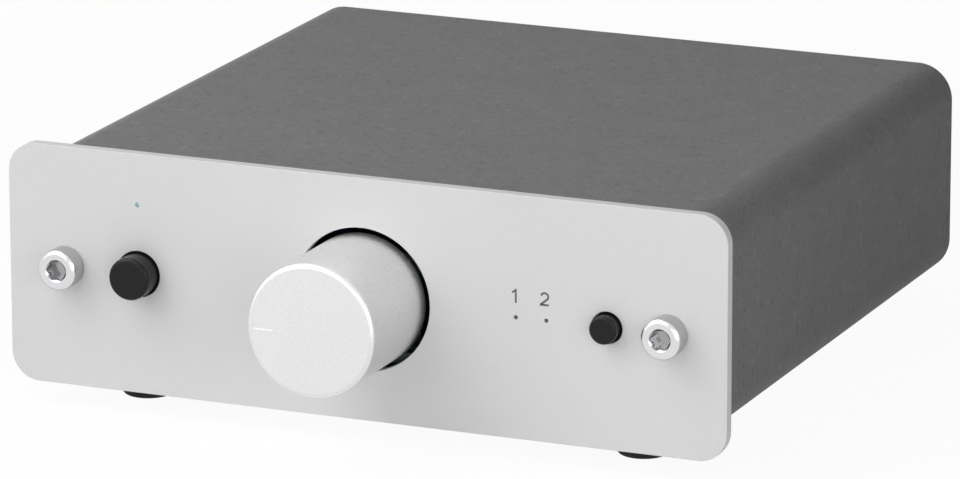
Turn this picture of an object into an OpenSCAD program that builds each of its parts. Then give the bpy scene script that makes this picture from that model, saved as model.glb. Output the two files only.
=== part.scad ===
// Compact phono preamp: an extruded case sleeve between a front and a rear panel,
// with a gain knob, two push buttons, one circuit board and sockets at the back.
// Millimetres. +Z is up and the front panel faces -Y. The origin is on the surface
// that the feet stand on, under the middle of the overall length.

/* [Case sleeve] */
// Width of the case sleeve
case_w = 98; // [97:0.5:124]
// Height of the case sleeve
case_h = 30; // [29.5:0.5:44]
// Length of the case sleeve
case_len = 90.4; // [86:0.2:140]
// Wall of the case sleeve
case_wall = 1.6; // [1.2:0.1:1.8]
// Outer radius of the sleeve's four long corners
case_r = 5; // [3:0.5:7]
// Outer diameter of the screw channels inside the sleeve
channel_d = 6; // [5:0.1:6]
// Distance of a screw channel's axis from the inside of the side wall
channel_in = 4.15; // [3.2:0.05:4.3]
// Thickness of the web between a screw channel and the side wall
channel_web = 2; // [1:0.1:3]
// Thickness of the rails that hold the circuit board
rail_t = 1; // [0.8:0.1:1.5]
// Depth of the rails that hold the circuit board
rail_depth = 2; // [1:0.1:2.4]

/* [Panels] */
// How far the front panel stands beyond the sleeve on each side
lip_side = 2.5; // [1:0.1:6]
// How far the front panel stands beyond the sleeve at the top and bottom
lip_top = 1.5; // [1:0.1:4]
// Thickness of the front panel
front_t = 1.6; // [1.2:0.1:3]
// Corner radius of the front panel
front_r = 4; // [1:0.5:8]
// Thickness of the rear panel
rear_t = 1.6; // [1.2:0.1:2.4]

/* [Feet] */
// Diameter of a foot where it is glued on
foot_d = 8; // [7:0.5:14]
// Diameter of a foot where it stands
foot_tip_d = 7; // [6:0.5:13]
// How far the feet reach below the front panel's lower edge
foot_drop = 3; // [1.5:0.1:8]
// Distance of a foot's centre from the sleeve's side
foot_side = 13; // [11:0.5:30]
// Distance of a foot's centre from the sleeve's end
foot_end = 8.4; // [7.4:0.2:30]

/* [Panel screws] */
// Thread diameter of the panel screws
screw_d = 3; // [2.5:0.1:3.5]
// Length of the panel screws under the head
screw_len = 10; // [6:0.5:16]
// Diameter of a panel screw's head
screw_head_d = 5.5; // [5:0.1:6.5]
// Height of a panel screw's head
screw_head_h = 3; // [2.2:0.1:4]
// Width across the flats of the hexagon socket in a screw head
screw_hex = 2.5; // [2:0.1:3]
// Depth of the hexagon socket in a screw head
screw_hex_deep = 1.6; // [1:0.1:2]
// Height of the bevel round a screw head
screw_bevel = 0.4; // [0.2:0.05:0.6]
// Radial play of a screw in its panel hole
screw_play = 0.2; // [0.1:0.05:0.5]
// Radial play of a screw in the sleeve's channel
thread_play = 0.05; // [0.02:0.01:0.1]

/* [Gain knob] */
// Diameter of the gain knob
knob_d = 18; // [15:0.5:26]
// How far the knob's face stands in front of the panel
knob_reach = 16.5; // [12:0.5:24]
// How far the knob's rear edge lies inside the panel's hole
knob_sink = 0.6; // [0.2:0.1:1]
// Radial gap between the knob and the panel's hole
knob_gap = 0.75; // [0.4:0.05:1.5]
// Bevel round the knob's face
knob_bevel = 0.5; // [0.2:0.1:1]
// Thickness of the knob's face
knob_face_t = 3; // [2:0.1:4]
// Outer diameter of the plastic insert that grips the shaft
insert_d = 12; // [9.5:0.5:13.5]
// Width of the pointer groove in the knob's face
groove_w = 0.9; // [0.4:0.1:1.6]
// Length of the pointer groove
groove_len = 2.9; // [1.5:0.1:5]
// Depth of the pointer groove
groove_deep = 0.25; // [0.1:0.05:0.5]
// Distance of the pointer groove from the knob's rim
groove_edge = 0.9; // [0.6:0.1:2]

/* [Potentiometer] */
// Height of the potentiometer's axis above the board
axis_h = 7.5; // [6.6:0.1:8]
// Diameter of the potentiometer's shaft
shaft_d = 6; // [4:0.1:6.4]
// Depth of the flat on the shaft
shaft_flat = 1.5; // [0.5:0.1:2]
// Length of the shaft in front of the potentiometer's frame
shaft_len = 20; // [17:0.5:20.5]
// Diameter of the bush that the shaft turns in
bush_d = 7.6; // [7.2:0.1:9]
// Length of the bush in front of the potentiometer's frame
bush_len = 5; // [3:0.5:5.5]
// Distance of the potentiometer's frame behind the front panel
pot_back = 6.4; // [6.3:0.1:9]
// Thickness of the potentiometer's frame
pot_frame_t = 0.8; // [0.6:0.1:1.2]
// Width of the potentiometer's body
pot_w = 10; // [9.5:0.5:14]
// Length of the potentiometer's body behind its frame
pot_len = 10.2; // [8:0.2:14]
// Height of the potentiometer's body above its axis
pot_top = 4.5; // [4.4:0.1:6]
// Diameter of the rotor inside the potentiometer
rotor_d = 7.6; // [6.6:0.1:8]
// Length of the rotor inside the potentiometer
rotor_len = 3; // [2:0.5:6]
// Radial clearance of the shaft in its bush
shaft_play = 0.03; // [0.01:0.01:0.08]

/* [Power button] */
// Diameter of the power button
power_d = 5.8; // [5:0.1:7]
// How far the power button stands in front of the panel
power_reach = 3.2; // [2.6:0.1:5]
// Travel of the power button
power_travel = 2.2; // [1:0.1:2.5]
// Distance of the power button's axis from the nearest panel screw
power_in = 10.75; // [8.5:0.25:14]

/* [Selector button] */
// Diameter of the selector button
select_d = 3.8; // [3.6:0.1:5]
// How far the selector button stands in front of the panel
select_reach = 1.7; // [1.4:0.1:4]
// Travel of the selector button
select_travel = 1; // [0.5:0.1:1.2]
// Distance of the selector button's axis from the nearest panel screw
select_in = 8.5; // [7.5:0.25:10]
// Radial gap between a button and its hole in the panel
button_gap = 0.25; // [0.2:0.05:0.4]
// Bevel round the power button's face
power_bevel = 0.5; // [0.2:0.05:0.8]
// Bevel round the selector button's face
select_bevel = 0.35; // [0.2:0.05:0.6]

/* [Switches] */
// Distance of the two switches behind the front panel
switch_back = 7.4; // [7.2:0.1:9]
// Width of the power switch
power_switch_w = 9; // [8:0.5:11]
// Length of the power switch's spring when the button is pressed home
power_spring_room = 4.2; // [3:0.1:7]
// Width of the selector switch
select_switch_w = 7; // [6.5:0.5:8]
// Length of the selector switch's spring when the button is pressed home
select_spring_room = 1.4; // [1.2:0.1:4]
// Height of a switch above its button's axis
switch_top = 4.5; // [4:0.1:6]
// Front wall of a switch
switch_wall = 1.5; // [1:0.1:2]
// Gap between a switch's slider and its guide
slider_play = 0.2; // [0.1:0.05:0.3]
// Wire diameter of the switches' springs
spring_wire = 0.4; // [0.3:0.05:0.5]
// Least gap between the coils of a switch's spring when it is pressed home
coil_gap = 0.1; // [0.05:0.05:0.2]

/* [Lights] */
// Diameter of a light's body
light_d = 3; // [2.4:0.1:3]
// Diameter of the rim at a light's base
light_rim_d = 3.8; // [3.5:0.1:3.9]
// Thickness of the rim at a light's base
light_rim_t = 1; // [0.6:0.1:1.2]
// Length of a light's body
light_len = 5; // [4:0.1:5.2]
// Diameter of the hole that the power light shines through
power_hole_d = 0.7; // [0.4:0.1:1.5]
// Height of the power light above the button's axis
power_light_up = 9.5; // [7:0.25:10]
// Diameter of the holes that the two selector lights shine through
select_hole_d = 0.6; // [0.4:0.1:1.5]
// Distance between the two selector lights
light_pitch = 4.3; // [4.2:0.1:6]
// Distance of the nearer selector light from the selector button's axis
light_in = 8.5; // [7:0.1:12]
// Distance of a light's tip behind the front panel
light_back = 0.2; // [0.1:0.05:0.5]
// Diameter of the lights' lead wires
lead_d = 0.5; // [0.4:0.05:0.6]
// Distance between a light's two lead wires
lead_pitch = 2.54; // [2:0.1:2.8]

/* [Circuit board] */
// Thickness of the circuit board
board_t = 1.6; // [1:0.1:2]
// Gap between the board and a rail, above and below
board_play = 0.1; // [0.05:0.05:0.2]
// Gap between the board's edge and the side wall
board_side = 0.3; // [0.2:0.1:0.6]
// Gap between the board and the front panel
board_front = 1.4; // [0.5:0.1:2]
// Gap between the board and the rear panel
board_rear = 1; // [0.4:0.1:1.2]

/* [Phono sockets] */
// Outer diameter of a socket's barrel
barrel_d = 8.3; // [8:0.1:8.6]
// How far the barrels stand out of the rear panel
barrel_reach = 9; // [8.4:0.1:14]
// Wall of a barrel
barrel_wall = 0.7; // [0.4:0.1:0.9]
// Bevel at the end of a barrel
barrel_bevel = 0.4; // [0.2:0.1:0.6]
// How much wider a barrel is on each side where it passes the rear panel
barrel_step = 0.2; // [0.1:0.05:0.3]
// How far that wider root stands out of the rear panel
barrel_collar = 0.6; // [0.3:0.1:1]
// How deep a barrel sits in its housing
barrel_sunk = 2; // [1:0.1:3]
// Diameter of the hole in a socket's centre contact
contact_bore_d = 3.3; // [3.2:0.05:3.4]
// Wall of the centre contact
contact_wall = 0.6; // [0.4:0.1:0.8]
// Distance between two sockets
socket_pitch = 12; // [11:0.25:12.5]
// Width of the housing round one socket
housing_w = 10; // [9.5:0.5:11]
// Length of the housings behind the rear panel
housing_len = 11.5; // [8:0.5:13]
// Height of the housings above the sockets' axis
housing_top = 6; // [5.2:0.2:8]
// Distance of the output pair's middle from the case's middle
output_x = 6; // [5:0.25:7]

/* [Ground terminal] */
// Thread diameter of the ground post
post_d = 4; // [3:0.5:4]
// Distance of the ground post's axis from the nearest panel screw
post_in = 8.75; // [8.5:0.25:9]
// Width across the flats of the post's head and locknut
post_hex = 7; // [6.5:0.1:7]
// Thickness of the post's head inside the case
post_head_h = 2.8; // [2:0.1:4]
// Thickness of the locknut
locknut_h = 2.2; // [1.6:0.1:2.4]
// Diameter of the captive washer
washer_d = 8.6; // [8:0.1:9]
// Thickness of the captive washer
washer_h = 0.7; // [0.5:0.1:0.8]
// Diameter of the thumb nut
thumb_d = 9; // [8.4:0.1:9.4]
// Length of the thumb nut
thumb_h = 5; // [3.5:0.1:5.2]
// Number of flutes round the thumb nut
thumb_flutes = 24; // [12:1:28]
// Diameter of the round cutter of a flute
flute_d = 0.6; // [0.4:0.05:0.7]
// Gap under the washer for a wire, as it stands
wire_gap = 0.3; // [0.2:0.1:0.5]
// Radial clearance of the thumb nut on the post
thumb_play = 0.05; // [0.02:0.01:0.08]

/* [USB socket] */
// Outer width of the USB socket
usb_w = 12; // [11.5:0.1:12.2]
// Outer height of the USB socket
usb_h = 11; // [10.6:0.1:12]
// Length of the USB socket
usb_len = 16; // [14:0.5:18]
// Thickness of the USB socket's metal shell
usb_shell_t = 0.4; // [0.3:0.05:0.5]
// Width of the USB opening
usb_open_w = 8.45; // [8.2:0.05:8.6]
// Height of the USB opening
usb_open_h = 7.78; // [7.6:0.02:7.9]
// Size of the bevels at the USB opening's upper corners
usb_corner = 2; // [1:0.1:2.2]
// Depth of the USB opening
usb_deep = 10; // [9:0.5:12]
// Width of the USB socket's tongue
usb_tongue_w = 5.6; // [5:0.1:5.8]
// Height of the USB socket's tongue
usb_tongue_h = 3.2; // [2.8:0.1:3.4]
// Distance of the tongue's end behind the socket's mouth
usb_tongue_back = 1; // [0.5:0.1:2]
// Distance between two neighbouring USB contacts
usb_contact_pitch = 2.5; // [2:0.1:3]
// Width of a USB contact
usb_contact_w = 1.1; // [0.8:0.1:1.4]
// Thickness of a USB contact
usb_contact_t = 0.3; // [0.2:0.05:0.4]
// Distance of the contacts' ends behind the socket's mouth
usb_contact_back = 2; // [1.6:0.1:3]

/* [Supply socket] */
// Width of the supply socket
supply_w = 9; // [8.6:0.1:9.4]
// Height of the supply socket
supply_h = 11; // [10.6:0.2:13]
// Length of the supply socket behind the rear panel
supply_len = 13; // [12:0.5:14]
// Height of the supply socket's axis above the board
supply_axis_h = 6.5; // [6:0.1:7]
// Diameter of the supply socket's opening
supply_bore_d = 5.7; // [5.5:0.1:6]
// Depth of the supply socket's opening
supply_deep = 9.5; // [8:0.5:11]
// Diameter of the supply socket's pin
supply_pin_d = 2.1; // [1.6:0.1:2.5]
// Distance of the pin's end inside the supply socket's mouth
supply_pin_back = 1; // [0.5:0.1:2]
// Wall of the supply socket's round nose
supply_nose_wall = 1.15; // [0.8:0.05:1.4]
// How far the nose stands out of the rear panel
supply_nose_out = 0.4; // [0.2:0.1:1]
// Width of the leaf spring in the supply socket
leaf_w = 1.2; // [0.8:0.1:1.6]
// Thickness of the leaf spring in the supply socket
leaf_t = 0.3; // [0.2:0.05:0.4]
// Length of the leaf spring in the supply socket
leaf_len = 6.5; // [4:0.5:7.5]
// Distance of the supply socket's axis from the nearest panel screw
supply_in = 8; // [7.8:0.1:8.2]

/* [Electronics] */
// Diameter of the two reservoir capacitors
reservoir_d = 10; // [8:0.5:10]
// Height of the two reservoir capacitors
reservoir_h = 16; // [10:0.5:18]
// Diameter of the coupling capacitors
coupling_d = 6.3; // [5:0.1:7]
// Height of the coupling capacitors
coupling_h = 11; // [7:0.5:14]
// Width of a film capacitor
film_w = 7.2; // [6:0.1:8]
// Thickness of a film capacitor
film_t = 3.5; // [2.5:0.1:4.5]
// Height of a film capacitor
film_h = 7.5; // [6:0.5:11]
// Width of a relay
relay_w = 10; // [7:0.5:11]
// Length of a relay
relay_len = 14; // [10:0.5:14]
// Height of a relay
relay_h = 10; // [6:0.5:12]
// Width of an amplifier chip
amplifier_w = 5; // [4:0.1:6]
// Length of an amplifier chip
amplifier_len = 4; // [3:0.1:4.5]
// Height of an amplifier chip
amplifier_h = 1.6; // [1:0.1:2]
// Side of the square converter chip
converter_w = 9; // [7:0.5:10]
// Height of the converter chip
converter_h = 1.4; // [1:0.1:2]
// Width of the voltage regulator
regulator_w = 10; // [8:0.5:10.5]
// Depth of the voltage regulator
regulator_len = 4.6; // [4:0.1:5]
// Height of the voltage regulator
regulator_h = 15; // [8:0.5:16]
// Width of the clock crystal
crystal_w = 11; // [8:0.5:11.5]
// Depth of the clock crystal
crystal_len = 4; // [3:0.1:5]
// Height of the clock crystal
crystal_h = 3.5; // [2.5:0.1:4.5]
// Length of a chip resistor
chip_len = 3.2; // [2:0.1:3.6]
// Width of a chip resistor
chip_w = 1.6; // [1.2:0.05:1.8]
// Height of a chip resistor
chip_h = 0.6; // [0.4:0.05:0.8]

/* [Hidden] */
$fn = 48;
wire_sides = 8;  // flat sides round a spring's wire
coil_steps = 16; // straight pieces in one turn of a spring

// Clearances shared by several pieces
fit = 0.05;        // round or flat pieces that are pushed together by hand
panel_play = 0.25; // a socket in its rear panel hole, all round
seat = 0.2;        // a socket housing behind the rear panel
through = 1;       // how far a cutting shape runs past a face
thread_pitch = 0.7;
indicator_deg = 180; // the pointer groove, seen from the front: 180 is on the left

// Overall sizes
panel_w = case_w + 2 * lip_side;
panel_h = case_h + 2 * lip_top;
foot_h = foot_drop + lip_top;
overall_len = knob_reach + front_t + case_len + rear_t + barrel_reach;
front_y = knob_reach - overall_len / 2;
rear_y = overall_len / 2 - barrel_reach;
axis_z = foot_drop + panel_h / 2;

// Inside of the sleeve
inner_w = case_w - 2 * case_wall;
inner_h = case_h - 2 * case_wall;
screw_x = inner_w / 2 - channel_in;

// Places from left to right
power_x = -(screw_x - power_in);
select_x = screw_x - select_in;
light_x = [select_x - light_in - light_pitch, select_x - light_in];
post_x = -(screw_x - post_in);
input_x = output_x - 2 * socket_pitch;
supply_x = screw_x - supply_in;
housing_pair_w = socket_pitch + housing_w;
usb_x = (output_x + housing_pair_w / 2 + supply_x - supply_w / 2) / 2;
supply_z = supply_axis_h - axis_h;
usb_z = usb_h / 2 - axis_h;

// Board, from the front face of the front panel backwards
board_y0 = front_t + board_front;
board_y1 = front_t + case_len - board_rear;
board_w = inner_w - 2 * board_side;

// Button stems and sliders
power_stem = 3;
select_stem = 2;
power_slider = 5;
select_slider = 4;
slider_len = 3;
stem_grip = 3.4;     // how deep a stem goes into its button
button_tail = 3;     // how far a button reaches behind the panel's front face
slider_stop = 0.1;   // gap between a slider and the front wall it rests against
stem_clear = 1.2;    // from a button's stem to the axis of a lead wire beside it
lead_out = 1;        // straight length of a lead wire behind its light

// Potentiometer, from the front face of the front panel backwards
pot_y = front_t + pot_back;
rotor_play = 0.25;

// Ground post, outwards from the rear panel
washer_y = locknut_h + wire_gap;
thumb_y = washer_y + washer_h + 2 * fit;
post_reach = thumb_y + thumb_h + thread_pitch / 2;

// ---------------------------------------------------------------- frames

// Origin on the front panel's face at the height of the knob, +Y into the case
module at_front(x = 0, z = 0) translate([x, front_y, axis_z + z]) children();

// Origin on the rear panel's outer face at the same height, +Y out of the case
module at_rear(x = 0, z = 0) translate([x, rear_y, axis_z + z]) children();

// Origin on the board's upper face, the given distance in front of its rear edge
module on_board(x, ahead) translate([x, front_y + board_y1 - ahead, axis_z - axis_h]) children();

// ---------------------------------------------------------------- shared shapes

// Rectangle with round corners, about the origin
module rounded_rect(w, h, r) {
    square([w - 2 * r, h], center = true);
    square([w, h - 2 * r], center = true);
    for (sx = [-1, 1], sy = [-1, 1])
        translate([sx * (w / 2 - r), sy * (h / 2 - r)]) circle(r);
}

// Upright outline pushed backwards by len, from y = 0
module push(len) translate([0, len, 0]) rotate([90, 0, 0]) linear_extrude(len) children();

// Round bar along Y, from y = 0
module rod(d, len) rotate([-90, 0, 0]) cylinder(d = d, h = len);

// Cone along Y, from y = 0
module taper(d1, d2, len) rotate([-90, 0, 0]) cylinder(d1 = d1, d2 = d2, h = len);

// Hexagonal bar along Y, measured across its flats
module hex_rod(flats, len) rotate([-90, 0, 0]) cylinder(d = flats / cos(30), h = len, $fn = 6);

// Square bar along Y, from y = 0
module square_rod(w, len) translate([-w / 2, 0, -w / 2]) cube([w, len, w]);

// Block that stands on z = 0, from y = 0 backwards
module block(w, len, h) translate([-w / 2, 0, 0]) cube([w, len, h]);

// Tube along Y that runs past both ends when it cuts
module bore(d, len) translate([0, -through, 0]) rod(d, len + 2 * through);

// Cap screw with its seat at y = 0 and its shank along +Y
module cap_screw() {
    rod(screw_d, screw_len);
    difference() {
        translate([0, -screw_head_h, 0]) {
            taper(screw_head_d - 2 * screw_bevel, screw_head_d, screw_bevel);
            translate([0, screw_bevel, 0]) rod(screw_head_d, screw_head_h - screw_bevel);
        }
        translate([0, -screw_head_h - through, 0]) hex_rod(screw_hex, screw_hex_deep + through);
    }
}

// ---------------------------------------------------------------- case

module front_panel() color("gainsboro") at_front() difference() {
    push(front_t) rounded_rect(panel_w, panel_h, front_r);
    bore(knob_d + 2 * knob_gap, front_t);
    translate([power_x, 0, 0]) bore(power_d + 2 * button_gap, front_t);
    translate([select_x, 0, 0]) bore(select_d + 2 * button_gap, front_t);
    translate([power_x, 0, power_light_up]) bore(power_hole_d, front_t);
    for (x = light_x) translate([x, 0, 0]) bore(select_hole_d, front_t);
    for (side = [-1, 1]) translate([side * screw_x, 0, 0]) bore(screw_d + 2 * screw_play, front_t);
}

// Walls, screw channels and board rails in one extruded outline
module sleeve_outline() {
    wall_in = case_wall / 2;
    difference() {
        rounded_rect(case_w, case_h, case_r);
        rounded_rect(inner_w, inner_h, case_r - case_wall);
    }
    for (side = [-1, 1]) scale([side, 1]) {
        difference() {
            union() {
                translate([screw_x, 0]) circle(d = channel_d);
                translate([screw_x, -channel_web / 2]) square([channel_in + wall_in, channel_web]);
            }
            translate([screw_x, 0]) circle(d = screw_d + 2 * thread_play);
        }
        for (z = [-axis_h + board_play, -axis_h - board_t - board_play - rail_t])
            translate([inner_w / 2 - rail_depth, z]) square([rail_depth + wall_in, rail_t]);
    }
}

module case_sleeve() color("dimgray") at_front() translate([0, front_t, 0])
    push(case_len) sleeve_outline();

module rear_panel() color("dimgray") at_rear() translate([0, -rear_t, 0]) difference() {
    push(rear_t) rounded_rect(case_w, case_h, case_r);
    for (side = [-1, 1]) translate([side * screw_x, 0, 0]) bore(screw_d + 2 * screw_play, rear_t);
    for (x = socket_places()) translate([x, 0, 0]) bore(barrel_root_d + 2 * panel_play, rear_t);
    translate([post_x, 0, 0]) bore(post_d + 2 * panel_play, rear_t);
    translate([usb_x, 0, usb_z]) translate([0, -through, 0]) push(rear_t + 2 * through)
        square([usb_w + 2 * panel_play, usb_h + 2 * panel_play], center = true);
    translate([supply_x, 0, supply_z]) bore(supply_nose_d + 2 * panel_play, rear_t);
}

module front_screws() color("silver")
    for (side = [-1, 1]) at_front(side * screw_x) cap_screw();

module rear_screws() color("silver")
    for (side = [-1, 1]) at_rear(side * screw_x) rotate([0, 0, 180]) cap_screw();

module rubber_feet() color("black")
    for (side = [-1, 1], y = [foot_end, case_len - foot_end])
        translate([side * (case_w / 2 - foot_side), front_y + front_t + y, 0])
            cylinder(d1 = foot_tip_d, d2 = foot_d, h = foot_h);

// ---------------------------------------------------------------- gain control

module gain_knob() color("whitesmoke") at_front() difference() {
    translate([0, -knob_reach, 0]) {
        taper(knob_d - 2 * knob_bevel, knob_d, knob_bevel);
        translate([0, knob_bevel, 0]) rod(knob_d, knob_reach + knob_sink - knob_bevel);
    }
    translate([0, knob_face_t - knob_reach, 0]) rod(insert_d + 2 * fit, knob_reach + through);
    rotate([0, -indicator_deg, 0])
        translate([knob_d / 2 - groove_edge - groove_len, -knob_reach - through, -groove_w / 2])
            cube([groove_len, through + groove_deep, groove_w]);
}

// D-shaped bar along Y, as the shaft's end and the hole that grips it
module d_rod(d, flat, len) intersection() {
    rod(d, len);
    translate([-d / 2, 0, -d / 2]) cube([d, len, d - flat]);
}

insert_y0 = knob_face_t - knob_reach + fit;
module knob_insert() color("black") at_front() difference() {
    translate([0, insert_y0, 0]) rod(insert_d, knob_sink - insert_y0);
    translate([0, pot_y - shaft_len - 2 * fit, 0])
        d_rod(shaft_d + 2 * fit, shaft_flat, shaft_len);
}

module pot_shaft() color("silver") at_front() translate([0, pot_y, 0]) {
    translate([0, -bush_len - through, 0]) rod(shaft_d, bush_len + through + pot_frame_t + rotor_play);
    translate([0, -shaft_len, 0]) d_rod(shaft_d, shaft_flat, shaft_len - bush_len - through);
    translate([0, pot_frame_t + rotor_play, 0]) rod(rotor_d, rotor_len);
}

module pot_frame() color("silver") at_front() translate([0, pot_y, 0]) difference() {
    union() {
        translate([0, -bush_len, 0]) rod(bush_d, bush_len);
        translate([0, 0, -axis_h]) block(pot_w, pot_frame_t, axis_h + pot_top);
    }
    translate([0, -bush_len, 0]) bore(shaft_d + 2 * shaft_play, bush_len + pot_frame_t);
}

module pot_body() color("saddlebrown") at_front() translate([0, pot_y + pot_frame_t, 0]) difference() {
    translate([0, 0, -axis_h]) block(pot_w, pot_len, axis_h + pot_top);
    translate([0, -through, 0]) rod(rotor_d + 2 * rotor_play, through + rotor_len + 2 * rotor_play);
}

// ---------------------------------------------------------------- buttons and switches

// Push button with its face at y = -reach and a square hole for its stem
module button(d, reach, bevel, stem) difference() {
    translate([0, -reach, 0]) {
        taper(d - 2 * bevel, d, bevel);
        translate([0, bevel, 0]) rod(d, reach + button_tail - bevel);
    }
    translate([0, button_tail - stem_grip, 0]) square_rod(stem + 2 * fit, stem_grip + through);
}

// Stem and slider that the button sits on
module slider(stem, wide) {
    stem_y0 = button_tail - stem_grip + fit;
    slider_y = front_t + switch_back + switch_wall + slider_stop;
    translate([0, stem_y0, 0]) square_rod(stem, slider_y - stem_y0);
    translate([0, slider_y, 0]) square_rod(wide, slider_len);
}

// Chamber that holds the slider, its travel and the closed spring
function chamber_len(travel, spring_room) = slider_stop + slider_len + travel + spring_room + 2 * fit;

// Switch body with a guide for the stem and a chamber for the slider and spring
module switch_body(w, stem, wide, travel, spring_room) translate([0, front_t + switch_back, 0]) difference() {
    chamber = chamber_len(travel, spring_room);
    translate([0, 0, -axis_h]) block(w, chamber + 2 * switch_wall, axis_h + switch_top);
    translate([0, -through, 0]) square_rod(stem + 2 * slider_play, switch_wall + 2 * through);
    translate([0, switch_wall, 0]) square_rod(wide + 2 * slider_play, chamber);
}

// As many turns as still clear each other in the closed length
function coil_turns(closed_len) = max(1, floor((closed_len - spring_wire) / (spring_wire + coil_gap)));

// Coil spring along Y from y = 0, swept as one closed tube
module coil_spring(d, wire, len, turns) {
    sides = wire_sides;
    steps = coil_steps * turns;
    coil_r = (d - wire) / 2;
    rise = (len - wire) / steps;
    rings = [for (i = [0:steps]) let (a = i * 360 / coil_steps) [
        for (j = [0:sides - 1]) let (b = j * 360 / sides, r = coil_r + wire / 2 * cos(b))
            [r * cos(a), wire / 2 + i * rise + wire / 2 * sin(b), r * sin(a)]]];
    walls = [for (i = [0:steps - 1], j = [0:sides - 1]) let (k = (j + 1) % sides)
        [i * sides + j, (i + 1) * sides + j, (i + 1) * sides + k, i * sides + k]];
    caps = [[for (j = [0:sides - 1]) j], [for (j = [sides - 1:-1:0]) steps * sides + j]];
    polyhedron(points = [for (ring = rings) each ring], faces = concat(walls, caps));
}

// Spring between a slider and the closed end of its switch
module switch_spring(wide, travel, spring_room)
    translate([0, front_t + switch_back + switch_wall + slider_stop + slider_len + fit, 0])
        coil_spring(wide - slider_play, spring_wire, travel + spring_room, coil_turns(spring_room));

module power_button() color("black") at_front(power_x)
    button(power_d, power_reach, power_bevel, power_stem);
module power_slider() color("white") at_front(power_x) slider(power_stem, power_slider);
module power_switch() color("darkslategray") at_front(power_x)
    switch_body(power_switch_w, power_stem, power_slider, power_travel, power_spring_room);
module power_spring() color("silver") at_front(power_x)
    switch_spring(power_slider, power_travel, power_spring_room);

module selector_button() color("black") at_front(select_x)
    button(select_d, select_reach, select_bevel, select_stem);
module selector_slider() color("white") at_front(select_x) slider(select_stem, select_slider);
module selector_switch() color("darkslategray") at_front(select_x)
    switch_body(select_switch_w, select_stem, select_slider, select_travel, select_spring_room);
module selector_spring() color("silver") at_front(select_x)
    switch_spring(select_slider, select_travel, select_spring_room);

// ---------------------------------------------------------------- lights

// Light body with its domed tip at y = 0
module light() {
    translate([0, light_d / 2, 0]) {
        sphere(d = light_d);
        rod(light_d, light_len - light_d / 2 - light_rim_t);
    }
    translate([0, light_len - light_rim_t, 0]) rod(light_rim_d, light_rim_t);
}

// Lead wire through a list of points, with round corners
module wire(points) {
    for (i = [0:len(points) - 2]) {
        run = points[i + 1] - points[i];
        translate(points[i]) rotate([0, acos(run.z / norm(run)), atan2(run.y, run.x)])
            cylinder(d = lead_d, h = norm(run));
    }
    for (i = [1:len(points) - 2]) translate(points[i]) sphere(d = lead_d);
}

light_y = front_t + light_back;
bend_y = light_y + light_len + lead_out;
// How far the power light's leads spread to pass the button's stem
lead_spread = power_stem / 2 + stem_clear;

module power_light() color("deepskyblue") at_front(power_x, power_light_up)
    translate([0, light_y, 0]) light();

module power_light_leads() color("silver") at_front(power_x) for (side = [-1, 1]) wire([
    [side * lead_pitch / 2, light_y + light_len, power_light_up],
    [side * lead_pitch / 2, bend_y, power_light_up],
    [side * lead_spread, bend_y, power_light_up],
    [side * lead_spread, bend_y, -axis_h]]);

module selector_lights() color("red") for (x = light_x) at_front(x) translate([0, light_y, 0]) light();

module selector_light_leads() color("silver") for (x = light_x, side = [-1, 1])
    at_front(x + side * lead_pitch / 2)
        wire([[0, light_y + light_len, 0], [0, bend_y, 0], [0, bend_y, -axis_h]]);

module main_board() color("darkgreen") at_front()
    translate([0, board_y0, -axis_h - board_t]) block(board_w, board_y1 - board_y0, board_t);

// ---------------------------------------------------------------- phono sockets

function pair_places(middle) = [middle - socket_pitch / 2, middle + socket_pitch / 2];
function socket_places() = concat(pair_places(input_x), pair_places(output_x));
barrel_root_d = barrel_d + 2 * barrel_step;
barrel_root_y = -rear_t - seat - barrel_sunk; // inner end of a barrel, from the rear panel
insulator_lip = 1;   // front ring that covers the centre contact
insulator_dip = 0.8; // how far the insulator lies inside the barrel's end
lip_play = 0.15;     // radial play between the lip's hole and the contact's hole
contact_d = contact_bore_d + 2 * contact_wall;
insulator_d = barrel_d - 2 * barrel_wall - 2 * fit;

module socket_housing(middle) difference() {
    at_rear(middle) translate([0, -rear_t - seat - housing_len, -axis_h])
        block(housing_pair_w, housing_len, axis_h + housing_top);
    for (x = pair_places(middle)) at_rear(x) translate([0, barrel_root_y - fit, 0])
        rod(barrel_root_d + 2 * fit, barrel_sunk + fit + through);
}

module socket_barrel() difference() {
    union() {
        translate([0, barrel_root_y, 0]) rod(barrel_root_d, barrel_collar - barrel_root_y);
        rod(barrel_d, barrel_reach - barrel_bevel);
        translate([0, barrel_reach - barrel_bevel, 0])
            taper(barrel_d, barrel_d - 2 * barrel_bevel, barrel_bevel);
    }
    translate([0, barrel_root_y, 0]) bore(barrel_d - 2 * barrel_wall, barrel_reach - barrel_root_y);
}

module socket_insulator() difference() {
    translate([0, barrel_root_y, 0]) rod(insulator_d, barrel_reach - insulator_dip - barrel_root_y);
    translate([0, barrel_root_y - through, 0])
        rod(contact_d + 2 * fit, barrel_reach - insulator_dip - insulator_lip - barrel_root_y + through);
    translate([0, barrel_root_y, 0]) bore(contact_bore_d + 2 * lip_play, barrel_reach - barrel_root_y);
}

module socket_contact() translate([0, barrel_root_y, 0]) difference() {
    contact_len = barrel_reach - insulator_dip - insulator_lip - fit - barrel_root_y;
    rod(contact_d, contact_len);
    translate([0, contact_wall, 0]) rod(contact_bore_d, contact_len);
}

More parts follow.
